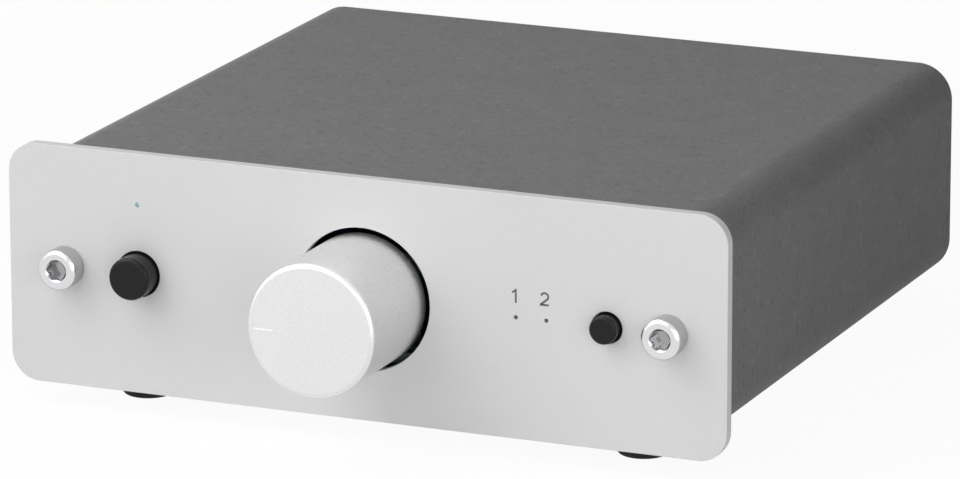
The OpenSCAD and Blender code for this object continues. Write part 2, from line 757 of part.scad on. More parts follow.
module input_housing() color("black") socket_housing(input_x);
module output_housing() color("black") socket_housing(output_x);
module input_barrels() color("gold") for (x = pair_places(input_x)) at_rear(x) socket_barrel();
module output_barrels() color("gold") for (x = pair_places(output_x)) at_rear(x) socket_barrel();
module left_insulators() color("white")
    for (middle = [input_x, output_x]) at_rear(pair_places(middle)[1]) socket_insulator();
module right_insulators() color("red")
    for (middle = [input_x, output_x]) at_rear(pair_places(middle)[0]) socket_insulator();
module centre_contacts() color("gold") for (x = socket_places()) at_rear(x) socket_contact();

// ---------------------------------------------------------------- ground terminal

module ground_post() color("silver") at_rear(post_x) {
    translate([0, -rear_t - post_head_h, 0]) hex_rod(post_hex, post_head_h);
    translate([0, -rear_t, 0]) rod(post_d, rear_t + post_reach);
}

module ground_locknut() color("silver") at_rear(post_x) difference() {
    hex_rod(post_hex, locknut_h);
    bore(post_d + 2 * thumb_play, locknut_h);
}

module ground_washer() color("silver") at_rear(post_x) translate([0, washer_y, 0]) difference() {
    rod(washer_d, washer_h);
    bore(post_d + 2 * panel_play, washer_h);
}

module ground_thumb_nut() color("gold") at_rear(post_x) translate([0, thumb_y, 0]) difference() {
    rod(thumb_d, thumb_h);
    bore(post_d + 2 * thumb_play, thumb_h);
    for (i = [0:thumb_flutes - 1]) rotate([0, i * 360 / thumb_flutes, 0])
        translate([thumb_d / 2 + flute_d / 6, 0, 0]) bore(flute_d, thumb_h);
}

// ---------------------------------------------------------------- USB socket

// Square opening with its two upper corners cut off
module usb_opening() polygon([
    [-usb_open_w / 2, -usb_open_h / 2], [usb_open_w / 2, -usb_open_h / 2],
    [usb_open_w / 2, usb_open_h / 2 - usb_corner], [usb_open_w / 2 - usb_corner, usb_open_h / 2],
    [usb_corner - usb_open_w / 2, usb_open_h / 2], [-usb_open_w / 2, usb_open_h / 2 - usb_corner]]);

module usb_shell() color("silver") at_rear(usb_x, usb_z) translate([0, -usb_len, 0]) difference() {
    push(usb_len) square([usb_w, usb_h], center = true);
    translate([0, -through, 0]) push(usb_len - usb_shell_t + through)
        square([usb_w - 2 * usb_shell_t, usb_h - 2 * usb_shell_t], center = true);
    push(usb_len + through) usb_opening();
}

module usb_core() color("white") at_rear(usb_x, usb_z) translate([0, -usb_len, 0]) {
    core_len = usb_len - usb_shell_t - fit;
    difference() {
        push(core_len)
            square([usb_w - 2 * (usb_shell_t + fit), usb_h - 2 * (usb_shell_t + fit)], center = true);
        translate([0, usb_len - usb_deep, 0]) push(usb_deep) usb_opening();
    }
    translate([0, usb_len - usb_deep - fit, 0]) push(usb_deep + fit - usb_tongue_back)
        square([usb_tongue_w, usb_tongue_h], center = true);
}

module usb_contacts() color("gold") at_rear(usb_x, usb_z)
    for (side = [-1, 1], up = [-1, 1])
        translate([side * usb_contact_pitch / 2, -usb_deep, up * (usb_tongue_h + usb_contact_t) / 2])
            translate([0, 0, -usb_contact_t / 2])
                block(usb_contact_w, usb_deep - usb_contact_back, usb_contact_t);

// ---------------------------------------------------------------- supply socket

supply_nose_d = supply_bore_d + 2 * supply_nose_wall;

module supply_socket() color("black") at_rear(supply_x, supply_z) difference() {
    union() {
        translate([0, -rear_t - seat - supply_len, -supply_axis_h]) block(supply_w, supply_len, supply_h);
        translate([0, -rear_t - seat, 0]) rod(supply_nose_d, rear_t + seat + supply_nose_out);
    }
    translate([0, -supply_deep, 0]) rod(supply_bore_d, supply_deep + through);
}

// Height of the leaf's underside, where its corners just clear the round wall
leaf_z = fit - sqrt(pow(supply_bore_d / 2, 2) - pow(leaf_w / 2, 2));

module supply_pin() color("silver") at_rear(supply_x, supply_z)
    translate([0, -supply_deep, 0]) rod(supply_pin_d, supply_deep + supply_nose_out - supply_pin_back);

module supply_spring() color("silver") at_rear(supply_x, supply_z)
    translate([0, -supply_deep, leaf_z]) block(leaf_w, leaf_len, leaf_t);

// ---------------------------------------------------------------- parts on the board

// The audio parts stand in rows that share the free length between the phono
// sockets and the power switch. Starts are measured from the board's rear edge.
audio_rows = 5;      // relays, film capacitors, amplifier chips, coupling capacitors, chip resistors
audio_side = 7.25;   // first coupling capacitor, from the left screw channel's axis
coupling_pitch = 9;
film_in = 2;         // first film capacitor, to the right of the first coupling capacitor
film_pitch = 10;
film_row_gap = 2.5;
amplifier_in = 6;    // first amplifier chip
amplifier_pitch = 14;
chip_in = 4;         // first chip resistor
chip_pitch = 5;
chip_row_gap = 1.4;
audio_left_x = audio_side - screw_x;
film_rows_len = 2 * film_t + film_row_gap;
chip_rows_len = 2 * chip_w + chip_row_gap;
rows_len = relay_len + film_rows_len + amplifier_len + coupling_d + chip_rows_len;
rows_rear = housing_len + seat - board_rear;
rows_front = board_y1 - (front_t + switch_back + 2 * switch_wall
    + chamber_len(power_travel, power_spring_room));
row_gap = (rows_front - rows_rear - rows_len) / (audio_rows + 1);
relay_start = rows_rear + row_gap;
film_start = relay_start + relay_len + row_gap;
amplifier_start = film_start + film_rows_len + row_gap;
coupling_start = amplifier_start + amplifier_len + row_gap;
chip_start = coupling_start + coupling_d + row_gap;

// The supply's parts stand in a column in front of its socket, and the converter's in
// another, midway between them and the relay of the output sockets
supply_inset = 1;    // from the supply socket's axis to its column
supply_gap = 2.8;    // from the supply socket to the first reservoir capacitor
board_gap = 2;       // between the two reservoir capacitors
regulator_gap = 4;   // from the second reservoir capacitor to the voltage regulator
converter_gap = 1.4; // from the front of the relays to the converter chip
crystal_gap = 3.5;   // from the converter chip to the clock crystal
supply_column_x = supply_x - supply_inset;
converter_column_x = (output_x + relay_w / 2 + supply_column_x - reservoir_d / 2) / 2;
column_start = supply_len + seat - board_rear + supply_gap;
converter_start = relay_start + relay_len + converter_gap;

module reservoir_capacitors() color("midnightblue")
    for (i = [0, 1])
        on_board(supply_column_x, column_start + reservoir_d / 2 + i * (reservoir_d + board_gap))
            cylinder(d = reservoir_d, h = reservoir_h);

module voltage_regulator() color("black")
    on_board(supply_column_x, column_start + 2 * reservoir_d + board_gap + regulator_gap + regulator_len)
        block(regulator_w, regulator_len, regulator_h);

module coupling_capacitors() color("midnightblue")
    for (i = [0:4]) on_board(audio_left_x + i * coupling_pitch, coupling_start + coupling_d / 2)
        cylinder(d = coupling_d, h = coupling_h);

module film_capacitors() color("firebrick")
    for (i = [0:3], row = [0, 1])
        on_board(audio_left_x + film_in + i * film_pitch, film_start + film_t + row * (film_t + film_row_gap))
            block(film_w, film_t, film_h);

module amplifier_chips() color("black")
    for (i = [0:2])
        on_board(audio_left_x + amplifier_in + i * amplifier_pitch, amplifier_start + amplifier_len)
            block(amplifier_w, amplifier_len, amplifier_h);

module relays() color("ivory")
    for (middle = [input_x, output_x]) on_board(middle, relay_start + relay_len)
        block(relay_w, relay_len, relay_h);

module converter_chip() color("black") on_board(converter_column_x, converter_start + converter_w)
    block(converter_w, converter_w, converter_h);

module clock_crystal() color("silver")
    on_board(converter_column_x, converter_start + converter_w + crystal_gap + crystal_len)
        block(crystal_w, crystal_len, crystal_h);

module chip_resistors() color("black")
    for (i = [0:6], row = [0, 1])
        on_board(audio_left_x + chip_in + i * chip_pitch, chip_start + chip_w + row * (chip_w + chip_row_gap))
            block(chip_len, chip_w, chip_h);

// ---------------------------------------------------------------- output

front_panel();
case_sleeve();
rear_panel();
front_screws();
rear_screws();
rubber_feet();
gain_knob();
knob_insert();
pot_shaft();
pot_frame();
pot_body();
power_button();
power_slider();
power_switch();
power_spring();
selector_button();
selector_slider();
selector_switch();
selector_spring();
power_light();
power_light_leads();
selector_lights();
selector_light_leads();
main_board();
input_housing();
output_housing();
input_barrels();
output_barrels();
left_insulators();
right_insulators();
centre_contacts();
ground_post();
ground_locknut();
ground_washer();
ground_thumb_nut();
usb_shell();
usb_core();
usb_contacts();
supply_socket();
supply_pin();
supply_spring();
reservoir_capacitors();
coupling_capacitors();
film_capacitors();
amplifier_chips();
converter_chip();
relays();
voltage_regulator();
clock_crystal();
chip_resistors();
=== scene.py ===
"""Looks of a compact phono preamp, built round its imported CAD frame.

The front panel faces -Y and +Z is up. Blender's unit is the metre, and sizes are written
in millimetres, which MM turns into metres. Each sub-assembly is a class whose fields are
its sizes and whose build method makes its pieces. A piece that stands for a CAD node takes
its place from that node's box.
"""

import logging
import math
from dataclasses import dataclass
from enum import Enum
from itertools import product
from typing import Callable, Iterable, Sequence, TypeAlias

import bmesh
import bpy
from mathutils import Matrix, Vector


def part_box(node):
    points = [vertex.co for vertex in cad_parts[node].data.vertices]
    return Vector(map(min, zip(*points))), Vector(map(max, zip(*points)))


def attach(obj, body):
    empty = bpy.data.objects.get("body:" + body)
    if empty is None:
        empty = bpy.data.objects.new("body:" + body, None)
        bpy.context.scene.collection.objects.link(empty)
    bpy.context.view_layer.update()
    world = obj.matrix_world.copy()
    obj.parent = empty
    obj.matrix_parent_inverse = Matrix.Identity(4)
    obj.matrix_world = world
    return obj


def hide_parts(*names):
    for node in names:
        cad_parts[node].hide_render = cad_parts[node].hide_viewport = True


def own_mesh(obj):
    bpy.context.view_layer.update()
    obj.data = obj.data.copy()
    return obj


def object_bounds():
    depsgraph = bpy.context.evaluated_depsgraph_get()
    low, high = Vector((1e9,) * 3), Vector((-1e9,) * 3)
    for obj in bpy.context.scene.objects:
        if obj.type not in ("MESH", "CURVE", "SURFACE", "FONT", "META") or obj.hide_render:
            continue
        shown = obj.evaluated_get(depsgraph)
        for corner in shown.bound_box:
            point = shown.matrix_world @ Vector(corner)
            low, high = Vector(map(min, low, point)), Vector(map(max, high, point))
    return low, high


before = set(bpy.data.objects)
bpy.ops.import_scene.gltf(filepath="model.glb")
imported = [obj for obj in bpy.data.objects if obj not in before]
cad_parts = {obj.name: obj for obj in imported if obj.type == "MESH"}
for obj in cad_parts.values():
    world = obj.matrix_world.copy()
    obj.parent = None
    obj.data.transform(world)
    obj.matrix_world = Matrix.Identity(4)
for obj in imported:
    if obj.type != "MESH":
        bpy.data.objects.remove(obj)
CAD_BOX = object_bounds()

MM = 0.001
Colour: TypeAlias = tuple[float, float, float]
Point: TypeAlias = tuple[float, float]
Edges: TypeAlias = list[bmesh.types.BMEdge]

log = logging.getLogger("phono_preamp")


# ------------------------------------------------------------------ shader maths


class Value:
    """A node's output that works in Python arithmetic."""

    def __init__(self, shader: "Shader", socket: bpy.types.NodeSocket) -> None:
        """Wraps an output socket of the shader's tree."""
        self.shader = shader
        self.socket = socket

    def _maths(self, operation: str, *inputs: "Number") -> "Value":
        """Adds one Math node and returns its result."""
        return self.shader.node("ShaderNodeMath", dict(enumerate(inputs)), operation=operation)

    def __add__(self, other: "Number") -> "Value":
        """Returns self + other."""
        return self._maths("ADD", self, other)

    __radd__ = __add__

    def __sub__(self, other: "Number") -> "Value":
        """Returns self - other."""
        return self._maths("SUBTRACT", self, other)

    def __rsub__(self, other: "Number") -> "Value":
        """Returns other - self."""
        return self._maths("SUBTRACT", other, self)

    def __mul__(self, other: "Number") -> "Value":
        """Returns self * other."""
        return self._maths("MULTIPLY", self, other)

    __rmul__ = __mul__

    def __pow__(self, other: "Number") -> "Value":
        """Returns self to the power of other."""
        return self._maths("POWER", self, other)

    def __abs__(self) -> "Value":
        """Returns the size of self without its sign."""
        return self._maths("ABSOLUTE", self)

    def over(self, limit: float) -> "Value":
        """Returns 1 where self is above limit, otherwise 0."""
        return self._maths("GREATER_THAN", self, limit)

    def larger(self, other: "Number") -> "Value":
        """Returns the larger of self and other."""
        return self._maths("MAXIMUM", self, other)

    def wrapped(self, pitch: float) -> "Value":
        """Returns self, measured from the nearest multiple of pitch."""
        return self._maths("WRAP", self, pitch / 2, -pitch / 2)

    def eased(self, low: float, high: float) -> "Value":
        """Returns 0 below low, 1 above high and a smooth step between them."""
        inputs = {"Value": self, "From Min": low, "From Max": high}
        return self.shader.node("ShaderNodeMapRange", inputs, interpolation_type="SMOOTHSTEP")


Number: TypeAlias = Value | float


class Shader:
    """The node tree of one material or of the world."""

    NOISE_RANGE = (0.3, 0.7)  # what a noise texture mostly keeps to

    def __init__(self, owner: bpy.types.Material | bpy.types.World) -> None:
        """Empties the owner's tree.

        Args:
            owner: the material or world that the tree belongs to.
        """
        owner.use_nodes = True
        self.tree = owner.node_tree
        self.tree.nodes.clear()

    def node(
        self,
        kind: str,
        inputs: dict[str | int, Number | Sequence[float]] | None = None,
        output: str | int = 0,
        **settings: object,
    ) -> Value:
        """Adds a node of any kind.

        Args:
            kind: Blender's name of the node type.
            inputs: values or links by socket name or number.
            output: name or number of the socket that is returned.
            **settings: the node's own settings, which are set before its sockets.

        Returns:
            The chosen output, or None from a node without outputs.
        """
        made = self.tree.nodes.new(kind)
        for name, setting in settings.items():
            setattr(made, name, setting)
        for key, value in (inputs or {}).items():
            socket = self._find(made.inputs, key)
            if isinstance(value, Value):
                self.tree.links.new(value.socket, socket)
            elif isinstance(value, tuple) and socket.type == "RGBA":
                socket.default_value = (*value, 1.0)
            else:
                socket.default_value = value
        return Value(self, self._find(made.outputs, output)) if len(made.outputs) else None

    @staticmethod
    def _find(sockets: Sequence[bpy.types.NodeSocket], key: str | int) -> bpy.types.NodeSocket:
        """Finds one of a node's sockets.

        Args:
            sockets: the node's inputs or outputs.
            key: the socket's number or name.

        Returns:
            The socket with that number, or the first one in use with that name.
        """
        if isinstance(key, int):
            return sockets[key]
        return next(s for s in sockets if s.enabled and s.name == key)

    def outputs(self, value: Value) -> dict[str, Value]:
        """Returns all outputs of the node that a value comes from, by name."""
        return {socket.name: Value(self, socket) for socket in value.socket.node.outputs}

    def place(self) -> Value:
        """Returns the object coordinates in millimetres."""
        inputs = {"Vector": self.node("ShaderNodeTexCoord", output="Object"), "Scale": 1 / MM}
        return self.node("ShaderNodeVectorMath", inputs, operation="SCALE")

    def axes(self) -> tuple[Value, Value, Value]:
        """Returns the object's x, y and z in millimetres."""
        parts = self.node("ShaderNodeSeparateXYZ", {"Vector": self.place()})
        return tuple(self.outputs(parts).values())

    def noise(self, place: Value, size: float, detail: float = 2.0) -> Value:
        """Adds cloudy noise that uses the whole range from 0 to 1.

        Args:
            place: coordinates in millimetres.
            size: size of a cloud in millimetres.
            detail: how many finer layers are added.

        Returns:
            The noise.
        """
        inputs = {"Vector": place, "Scale": 1 / size, "Detail": detail}
        return self.node("ShaderNodeTexNoise", inputs).eased(*self.NOISE_RANGE)

    def tint(self, colour: Colour, tone: Value) -> Value:
        """Returns a colour made lighter or darker by tone."""
        inputs = {0: colour, "Scale": tone}
        return self.node("ShaderNodeVectorMath", inputs, operation="SCALE")

    def mix(self, first: Value | Colour, second: Value | Colour, share: Value) -> Value:
        """Returns the first colour where share is 0 and the second where it is 1."""
        inputs = {"Factor": share, "A": first, "B": second}
        return self.node("ShaderNodeMix", inputs, "Result", data_type="RGBA")

    def surface(self, sockets: dict[str, Number | Colour], height: Value, relief: float) -> None:
        """Adds the surface shader and the output.

        Args:
            sockets: values or links of the surface shader's sockets.
            height: what raises the surface, from 0 to 1.
            relief: how far it is raised at 1, in millimetres.
        """
        bump = {"Height": height, "Distance": relief * MM, "Strength": 1.0}
        sockets = {**sockets, "Normal": self.node("ShaderNodeBump", bump)}
        shader = self.node("ShaderNodeBsdfPrincipled", sockets)
        self.node("ShaderNodeOutputMaterial", {"Surface": shader})


# ------------------------------------------------------------------ finishes


@dataclass(frozen=True)
class Finish:
    """A finish that is made once and shared by its pieces. Its lengths are millimetres."""

    name: str
    slot: str  # name of the material slot that it belongs to
    colour: Colour

    def paint(self, shader: Shader) -> None:
        """Writes the finish's nodes."""
        raise NotImplementedError

    def material(self) -> bpy.types.Material:
        """Makes the material at its first use.

        Returns:
            The material, which all pieces in this finish share.
        """
        name = "finish_" + self.name
        known = bpy.data.materials.get(name)
        if known:
            return known
        made = bpy.data.materials.new(name)
        made.diffuse_color = (*self.colour, 1.0)
        self.paint(Shader(made))
        return made


@dataclass(frozen=True)
class Grained(Finish):
    """An even surface with a fine grain, such as blasted metal or moulded plastic."""

    metallic: float = 0.0  # 1 for bare metal, 0 for paint or plastic
    roughness: float = 0.5
    gloss_change: float = 0.1  # how far the grain changes the roughness
    grain: float = 0.12  # size of the grain
    grain_tone: float = 0.1  # how far it lightens or darkens the colour
    cloud: float = 9.0  # size of the faint large clouds
    cloud_tone: float = 0.05  # how far they lighten or darken it
    relief: float = 0.003  # height of the grain
    shine: float = 0.5  # shine of paint or plastic, 0.5 for a plain one

    def grain_place(self, shader: Shader) -> Value:
        """Returns the coordinates that the grain follows."""
        return shader.place()

    def shaded(self, shader: Shader, tone: Value) -> Value:
        """Returns the tone unchanged, without any painted shade."""
        return tone

    def paint(self, shader: Shader) -> None:
        """Writes the finish's nodes.

        Args:
            shader: the material's tree.
        """
        grain = shader.noise(self.grain_place(shader), self.grain)
        cloud = shader.noise(shader.place(), self.cloud, detail=1.0)
        tone = 1 + (grain - 0.5) * self.grain_tone + (cloud - 0.5) * self.cloud_tone
        sockets = {
            "Base Color": shader.tint(self.colour, self.shaded(shader, tone)),
            "Metallic": self.metallic,
            "Roughness": self.roughness + (grain - 0.5) * self.gloss_change,
            "Specular IOR Level": self.shine,
        }
        shader.surface(sockets, grain, self.relief)


@dataclass(frozen=True)
class Turned(Grained):
    """Metal with the fine rings that a lathe leaves round an axis along Y."""

    axis: Point = (0.0, 0.0)  # the axis's x and z
    mirrored: bool = False  # whether a second axis stands at minus x
    pitch: float = 0.0  # distance between the axes of a row, or 0 for one axis
    recess: float = 0.0  # radius of the socket's recess, which is darkened with painted shade, or 0 for an even tone
    recess_shade_tone: float = 1.0  # tone of the painted shade in the recess
    side: float = 0.0  # radius at which the painted shade on the side of a head starts
    side_shade_tone: float = 1.0  # tone of the painted shade on the side
    blend: float = 0.97  # where a change of tone starts, as a share of its radius

    def radius(self, shader: Shader) -> Value:
        """Measures the distance from the nearest axis.

        Args:
            shader: the material's tree.

        Returns:
            The distance in millimetres.
        """
        x, _, z = shader.axes()
        across = abs(x) - self.axis[0] if self.mirrored else x - self.axis[0]
        if self.pitch:
            across = across.wrapped(self.pitch)
        up = z - self.axis[1]
        return (across * across + up * up) ** 0.5

    def grain_place(self, shader: Shader) -> Value:
        """Returns radius and depth, so that the grain runs round the axis."""
        inputs = {"X": self.radius(shader), "Y": shader.axes()[1]}
        return shader.node("ShaderNodeCombineXYZ", inputs)

    def shaded(self, shader: Shader, tone: Value) -> Value:
        """Lowers the tone with painted shade in the recess and on the side of a head.

        Args:
            shader: the material's tree.
            tone: the tone of the grain and the clouds.

        Returns:
            The tone that the colour is multiplied by.
        """
        if not self.recess:
            return tone
        radius = self.radius(shader)
        # Painted shade: darker inside the recess, fading out at its rim.
        inside = 1 - radius.eased(self.recess * self.blend, self.recess)
        # Painted shade: darker on the side of the head.
        outside = radius.eased(self.side * self.blend, self.side)
        return tone * (1 - inside * (1 - self.recess_shade_tone) - outside * (1 - self.side_shade_tone))


@dataclass(frozen=True)
class PowderCoat(Finish):
    """Textured powder coat: a fine orange-peel relief with lighter and darker grains."""

    grain: float = 0.45  # size of a grain
    grain_tone: float = 0.26  # how far the grains lighten or darken the colour
    peel: float = 1.1  # size of the orange-peel waves
    speck_share: float = 0.06  # share of the waves' range that makes a speck
    speck_tone: float = 0.16  # how far the specks lighten or darken the colour
    cloud: float = 7.0  # size of the faint large clouds
    cloud_tone: float = 0.06  # how far they lighten or darken it
    grain_share: float = 0.6  # share of the grain in the relief, the waves have the rest
    relief: float = 0.05  # height of the relief
    roughness: float = 0.6
    gloss_change: float = 0.2  # how far the grain changes the roughness
    shine: float = 0.1

    def paint(self, shader: Shader) -> None:
        """Writes the finish's nodes.

        Args:
            shader: the material's tree.
        """
        place = shader.place()
        grain = shader.noise(place, self.grain, detail=3.0)
        peel = shader.noise(place, self.peel, detail=1.0)
        cloud = shader.noise(place, self.cloud, detail=3.0)
        share = self.speck_share
        specks = 1 - peel.eased(0.0, share) - peel.eased(1 - share, 1.0)
        tone = 1 + (grain - 0.5) * self.grain_tone + (cloud - 0.5) * self.cloud_tone
        sockets = {
            "Base Color": shader.tint(self.colour, tone + specks * self.speck_tone),
            "Roughness": self.roughness + (grain - 0.5) * self.gloss_change,
            "Specular IOR Level": self.shine,
        }
        height = grain * self.grain_share + peel * (1 - self.grain_share)
        shader.surface(sockets, height, self.relief)


@dataclass(frozen=True)
class Lens(Finish):
    """Tinted clear plastic of a light."""

    glow: float = 0.0  # brightness of the light when it is on, or 0
    cloud: float = 0.8  # size of the faint clouds
    cloud_tone: float = 0.2  # how far they lighten or darken the colour
    relief: float = 0.01  # their height
    roughness: float = 0.12
    gloss_change: float = 0.1  # how far the clouds add to the roughness

    def paint(self, shader: Shader) -> None:
        """Writes the finish's nodes.

        Args:
            shader: the material's tree.
        """
        cloud = shader.noise(shader.place(), self.cloud)
        colour = shader.tint(self.colour, 1 - self.cloud_tone / 2 + cloud * self.cloud_tone)
        sockets = {
            "Base Color": colour,
            "Roughness": self.roughness + cloud * self.gloss_change,
            "Emission Color": colour,
            "Emission Strength": self.glow,
        }
        shader.surface(sockets, cloud, self.relief)


@dataclass(frozen=True)
class BoardMask(Finish):
    """Circuit board: solder mask over copper tracks, with rows of tinned holes."""

    track_colour: Colour = (0.007, 0.06, 0.024)  # colour of the mask over copper
    tin: Colour = (0.72, 0.7, 0.66)
    track_pitch: float = 1.27  # distance between tracks
    gap_share: float = 0.28  # half of the gap between tracks, as a share of the pitch
    block: float = 11.0  # size of an area whose tracks run the same way
    hole_pitch: float = 5.08  # distance between tinned holes
    row_share: float = 0.4  # where the first row stands, as a share of the pitch
    ring: float = 0.75  # radius of the tin
    relief: float = 0.035  # height of the copper
    roughness: float = 0.3
    tin_roughness: float = 0.35

    def paint(self, shader: Shader) -> None:
        """Writes the finish's nodes.

        Args:
            shader: the material's tree.
        """
        x, y, _ = shader.axes()
        blocks = shader.noise(shader.place(), self.block, detail=0.0).over(0.5)
        along = x * blocks + y * (1 - blocks)
        track = abs(along.wrapped(self.track_pitch)).over(self.track_pitch * self.gap_share)
        across = x.wrapped(self.hole_pitch)
        up = (y + self.row_share * self.hole_pitch).wrapped(self.hole_pitch)
        ring = 1 - ((across * across + up * up) ** 0.5).over(self.ring)
        masked = shader.mix(self.colour, self.track_colour, track)
        sockets = {
            "Base Color": shader.mix(masked, self.tin, ring),
            "Metallic": ring,
            "Roughness": self.roughness + ring * (self.tin_roughness - self.roughness),
        }
        shader.surface(sockets, track.larger(ring), self.relief)


AXIS_HEIGHT = 19.5  # height of the knob, buttons, screws and phono sockets
POST_AXIS = (-34.5, AXIS_HEIGHT)
GILT = (0.86, 0.66, 0.3)
NICKEL = (0.62, 0.62, 0.61)
WHITE = (1.0, 1.0, 1.0)

PANEL_METAL = Grained(
    "panel_metal", "panel_aluminium", (0.635, 0.635, 0.635), metallic=0.1, roughness=0.6,
    grain_tone=0.04, cloud=16.0, cloud_tone=0.012,
)
KNOB_METAL = Grained(
    "knob_metal", "knob_aluminium", (0.77, 0.77, 0.77), metallic=1.0, roughness=0.3,
    grain_tone=0.02, cloud=7.0, cloud_tone=0.01, relief=0.0015,
)
COAT = PowderCoat("coat", "case_coating", (0.176, 0.176, 0.178))
# The screws' metal has painted shade in each hex socket's recess.
SCREW_METAL = Turned(
    "screw_metal", "plated_screw", (0.74, 0.74, 0.75), metallic=1.0, roughness=0.17,
    gloss_change=0.05, grain=0.06, grain_tone=0.04, relief=0.0008, axis=(43.25, AXIS_HEIGHT),
    # Painted shade also darkens the side of each head.
    mirrored=True, recess=1.5, recess_shade_tone=0.5, side=2.7, side_shade_tone=0.72,
)
BUTTON_PLASTIC = Grained(
    "button_plastic", "button_plastic", (0.009, 0.009, 0.01), roughness=0.24,
    gloss_change=0.06, grain=0.25, relief=0.001, shine=0.2,
)
RUBBER = Grained(
    "rubber", "foot_rubber", (0.018, 0.018, 0.018), roughness=0.75, grain=0.2,
    grain_tone=0.2, relief=0.01, shine=0.3,
)
INK = Grained(
    "ink", "panel_aluminium", (0.1, 0.1, 0.105), roughness=0.6, grain=0.08, grain_tone=0.2
)
BLUE_LIGHT = Lens("blue_light", "blue_lens", (0.42, 0.9, 1.0), glow=3.5)
RED_LENS = Lens("red_lens", "red_lens", (0.24, 0.13, 0.13))
GOLD = Turned(
    "gold", "gold_plating", GILT, metallic=1.0, roughness=0.22, grain=0.08,
    grain_tone=0.06, relief=0.0015, axis=(0.0, AXIS_HEIGHT), pitch=12.0,
)
GOLD_NUT = Turned(
    "gold_nut", "gold_plating", GILT, metallic=1.0, roughness=0.24, grain=0.08,
    grain_tone=0.06, relief=0.0015, axis=POST_AXIS,
)
GOLD_LEAF = Grained("gold_leaf", "gold_plating", GILT, metallic=1.0, roughness=0.25)
STEEL = Turned(
    "steel", "bright_steel", NICKEL, metallic=1.0, roughness=0.3, grain=0.1,
    grain_tone=0.08, relief=0.002, axis=POST_AXIS,
)
SHEET_STEEL = Grained(
    "sheet_steel", "bright_steel", NICKEL, metallic=1.0, roughness=0.32, grain=0.3,
    grain_tone=0.08,
)
ZINC_STEEL = Grained(
    "zinc_steel", "bright_steel", (0.24, 0.24, 0.25), metallic=1.0, roughness=0.55,
    grain=0.5, grain_tone=0.2, cloud=3.0, cloud_tone=0.2,
)
SPRING_WIRE = Grained("spring_wire", "spring_steel", (0.5, 0.5, 0.51), metallic=1.0, roughness=0.3)
TINNED_WIRE = Grained(
    "tinned_wire", "tinned_wire", (0.66, 0.66, 0.64), metallic=1.0, roughness=0.38
)
BLACK_MOULDING = Grained(
    "black_moulding", "black_moulding", (0.018, 0.018, 0.019), grain=0.3, shine=0.35
)
DARK_MOULDING = Grained("dark_moulding", "dark_moulding", (0.03, 0.033, 0.036), grain=0.3)
WHITE_MOULDING = Grained(
    "white_moulding", "white_moulding", (0.74, 0.74, 0.71), roughness=0.45, grain=0.3
)
RED_MOULDING = Grained("red_moulding", "red_moulding", (0.5, 0.02, 0.02), roughness=0.42, grain=0.3)
BROWN_BOARD = Grained(
    "brown_board", "brown_board", (0.13, 0.065, 0.03), roughness=0.65, grain=0.2,
    grain_tone=0.5, relief=0.01,
)
GREEN_BOARD = BoardMask("green_board", "green_board", (0.004, 0.03, 0.013))
CAPACITOR_SLEEVE = Grained(
    "capacitor_sleeve", "capacitor_sleeve", (0.02, 0.025, 0.09), roughness=0.25, grain=0.6
)
FILM_CASE = Grained("film_case", "film_case", (0.42, 0.03, 0.02), roughness=0.3, grain=0.5)
CHIP_RESIN = Grained(
    "chip_resin", "chip_resin", (0.02, 0.02, 0.021), roughness=0.62, grain=0.15,
    grain_tone=0.3, relief=0.006,
)
RELAY_CASE = Grained("relay_case", "relay_case", (0.7, 0.68, 0.6), roughness=0.3, grain=0.5)
CRYSTAL_CAN = Grained(
    "crystal_can", "crystal_can", (0.66, 0.66, 0.65), metallic=1.0, roughness=0.28
)

INSIDE: dict[Finish, tuple[str, ...]] = {
    BLACK_MOULDING: ("knob_insert", "input_housing", "output_housing"),
    SHEET_STEEL: ("pot_shaft",),
    ZINC_STEEL: ("pot_frame",),
    BROWN_BOARD: ("pot_body",),
    WHITE_MOULDING: ("power_slider", "selector_slider", "usb_core"),
    DARK_MOULDING: ("power_switch", "selector_switch"),
    TINNED_WIRE: ("power_light_leads", "selector_light_leads"),
    GREEN_BOARD: ("main_board",),
    GOLD_LEAF: ("usb_contacts",),
    SPRING_WIRE: ("supply_spring",),
    CAPACITOR_SLEEVE: ("reservoir_capacitors", "coupling_capacitors"),
    FILM_CASE: ("film_capacitors",),
    CHIP_RESIN: ("amplifier_chips", "converter_chip", "voltage_regulator", "chip_resistors"),
    RELAY_CASE: ("relays",),
    CRYSTAL_CAN: ("clock_crystal",),
}


# ------------------------------------------------------------------ outlines


@dataclass(frozen=True)
class Extent:
    """The box of a CAD node, in millimetres."""

    low: Vector
    high: Vector

    @classmethod
    def of(cls, node: str) -> "Extent":
        """Returns the box of the node with that name."""
        low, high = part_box(node)
        return cls(low / MM, high / MM)

    @property
    def size(self) -> Vector:
        """The box's width, depth and height."""
        return self.high - self.low

    @property
    def middle(self) -> Point:
        """The x and z of the box's middle."""
        centre = (self.low + self.high) / 2
        return centre.x, centre.z

    @property
    def depth(self) -> Point:
        """The y of the box's front and back."""
        return self.low.y, self.high.y

    def inset(self, axis: int, radius: float) -> Point:
        """Returns where the outermost round parts of a node have their middles.

        Args:
            axis: 0 for their x, 1 for their y.
            radius: their radius.
        """
        return self.low[axis] + radius, self.high[axis] - radius


def polar(x: float, z: float, radius: float, turn: float) -> Point:
    """Returns a point on a circle round x and z, turned by degrees from +X towards +Z."""
    angle = math.radians(turn)
    return x + radius * math.cos(angle), z + radius * math.sin(angle)


def arc(x: float, z: float, radius: float, start: float, end: float, steps: int) -> list[Point]:
    """Returns the points of an arc.

    Args:
        x: the centre's x.
        z: the centre's z.
        radius: the arc's radius.
        start: first angle in degrees, from +X towards +Z.
        end: last angle in degrees.
        steps: number of straight pieces.

    Returns:
        The points, both ends included.
    """
    return [polar(x, z, radius, start + (end - start) * i / steps) for i in range(steps + 1)]


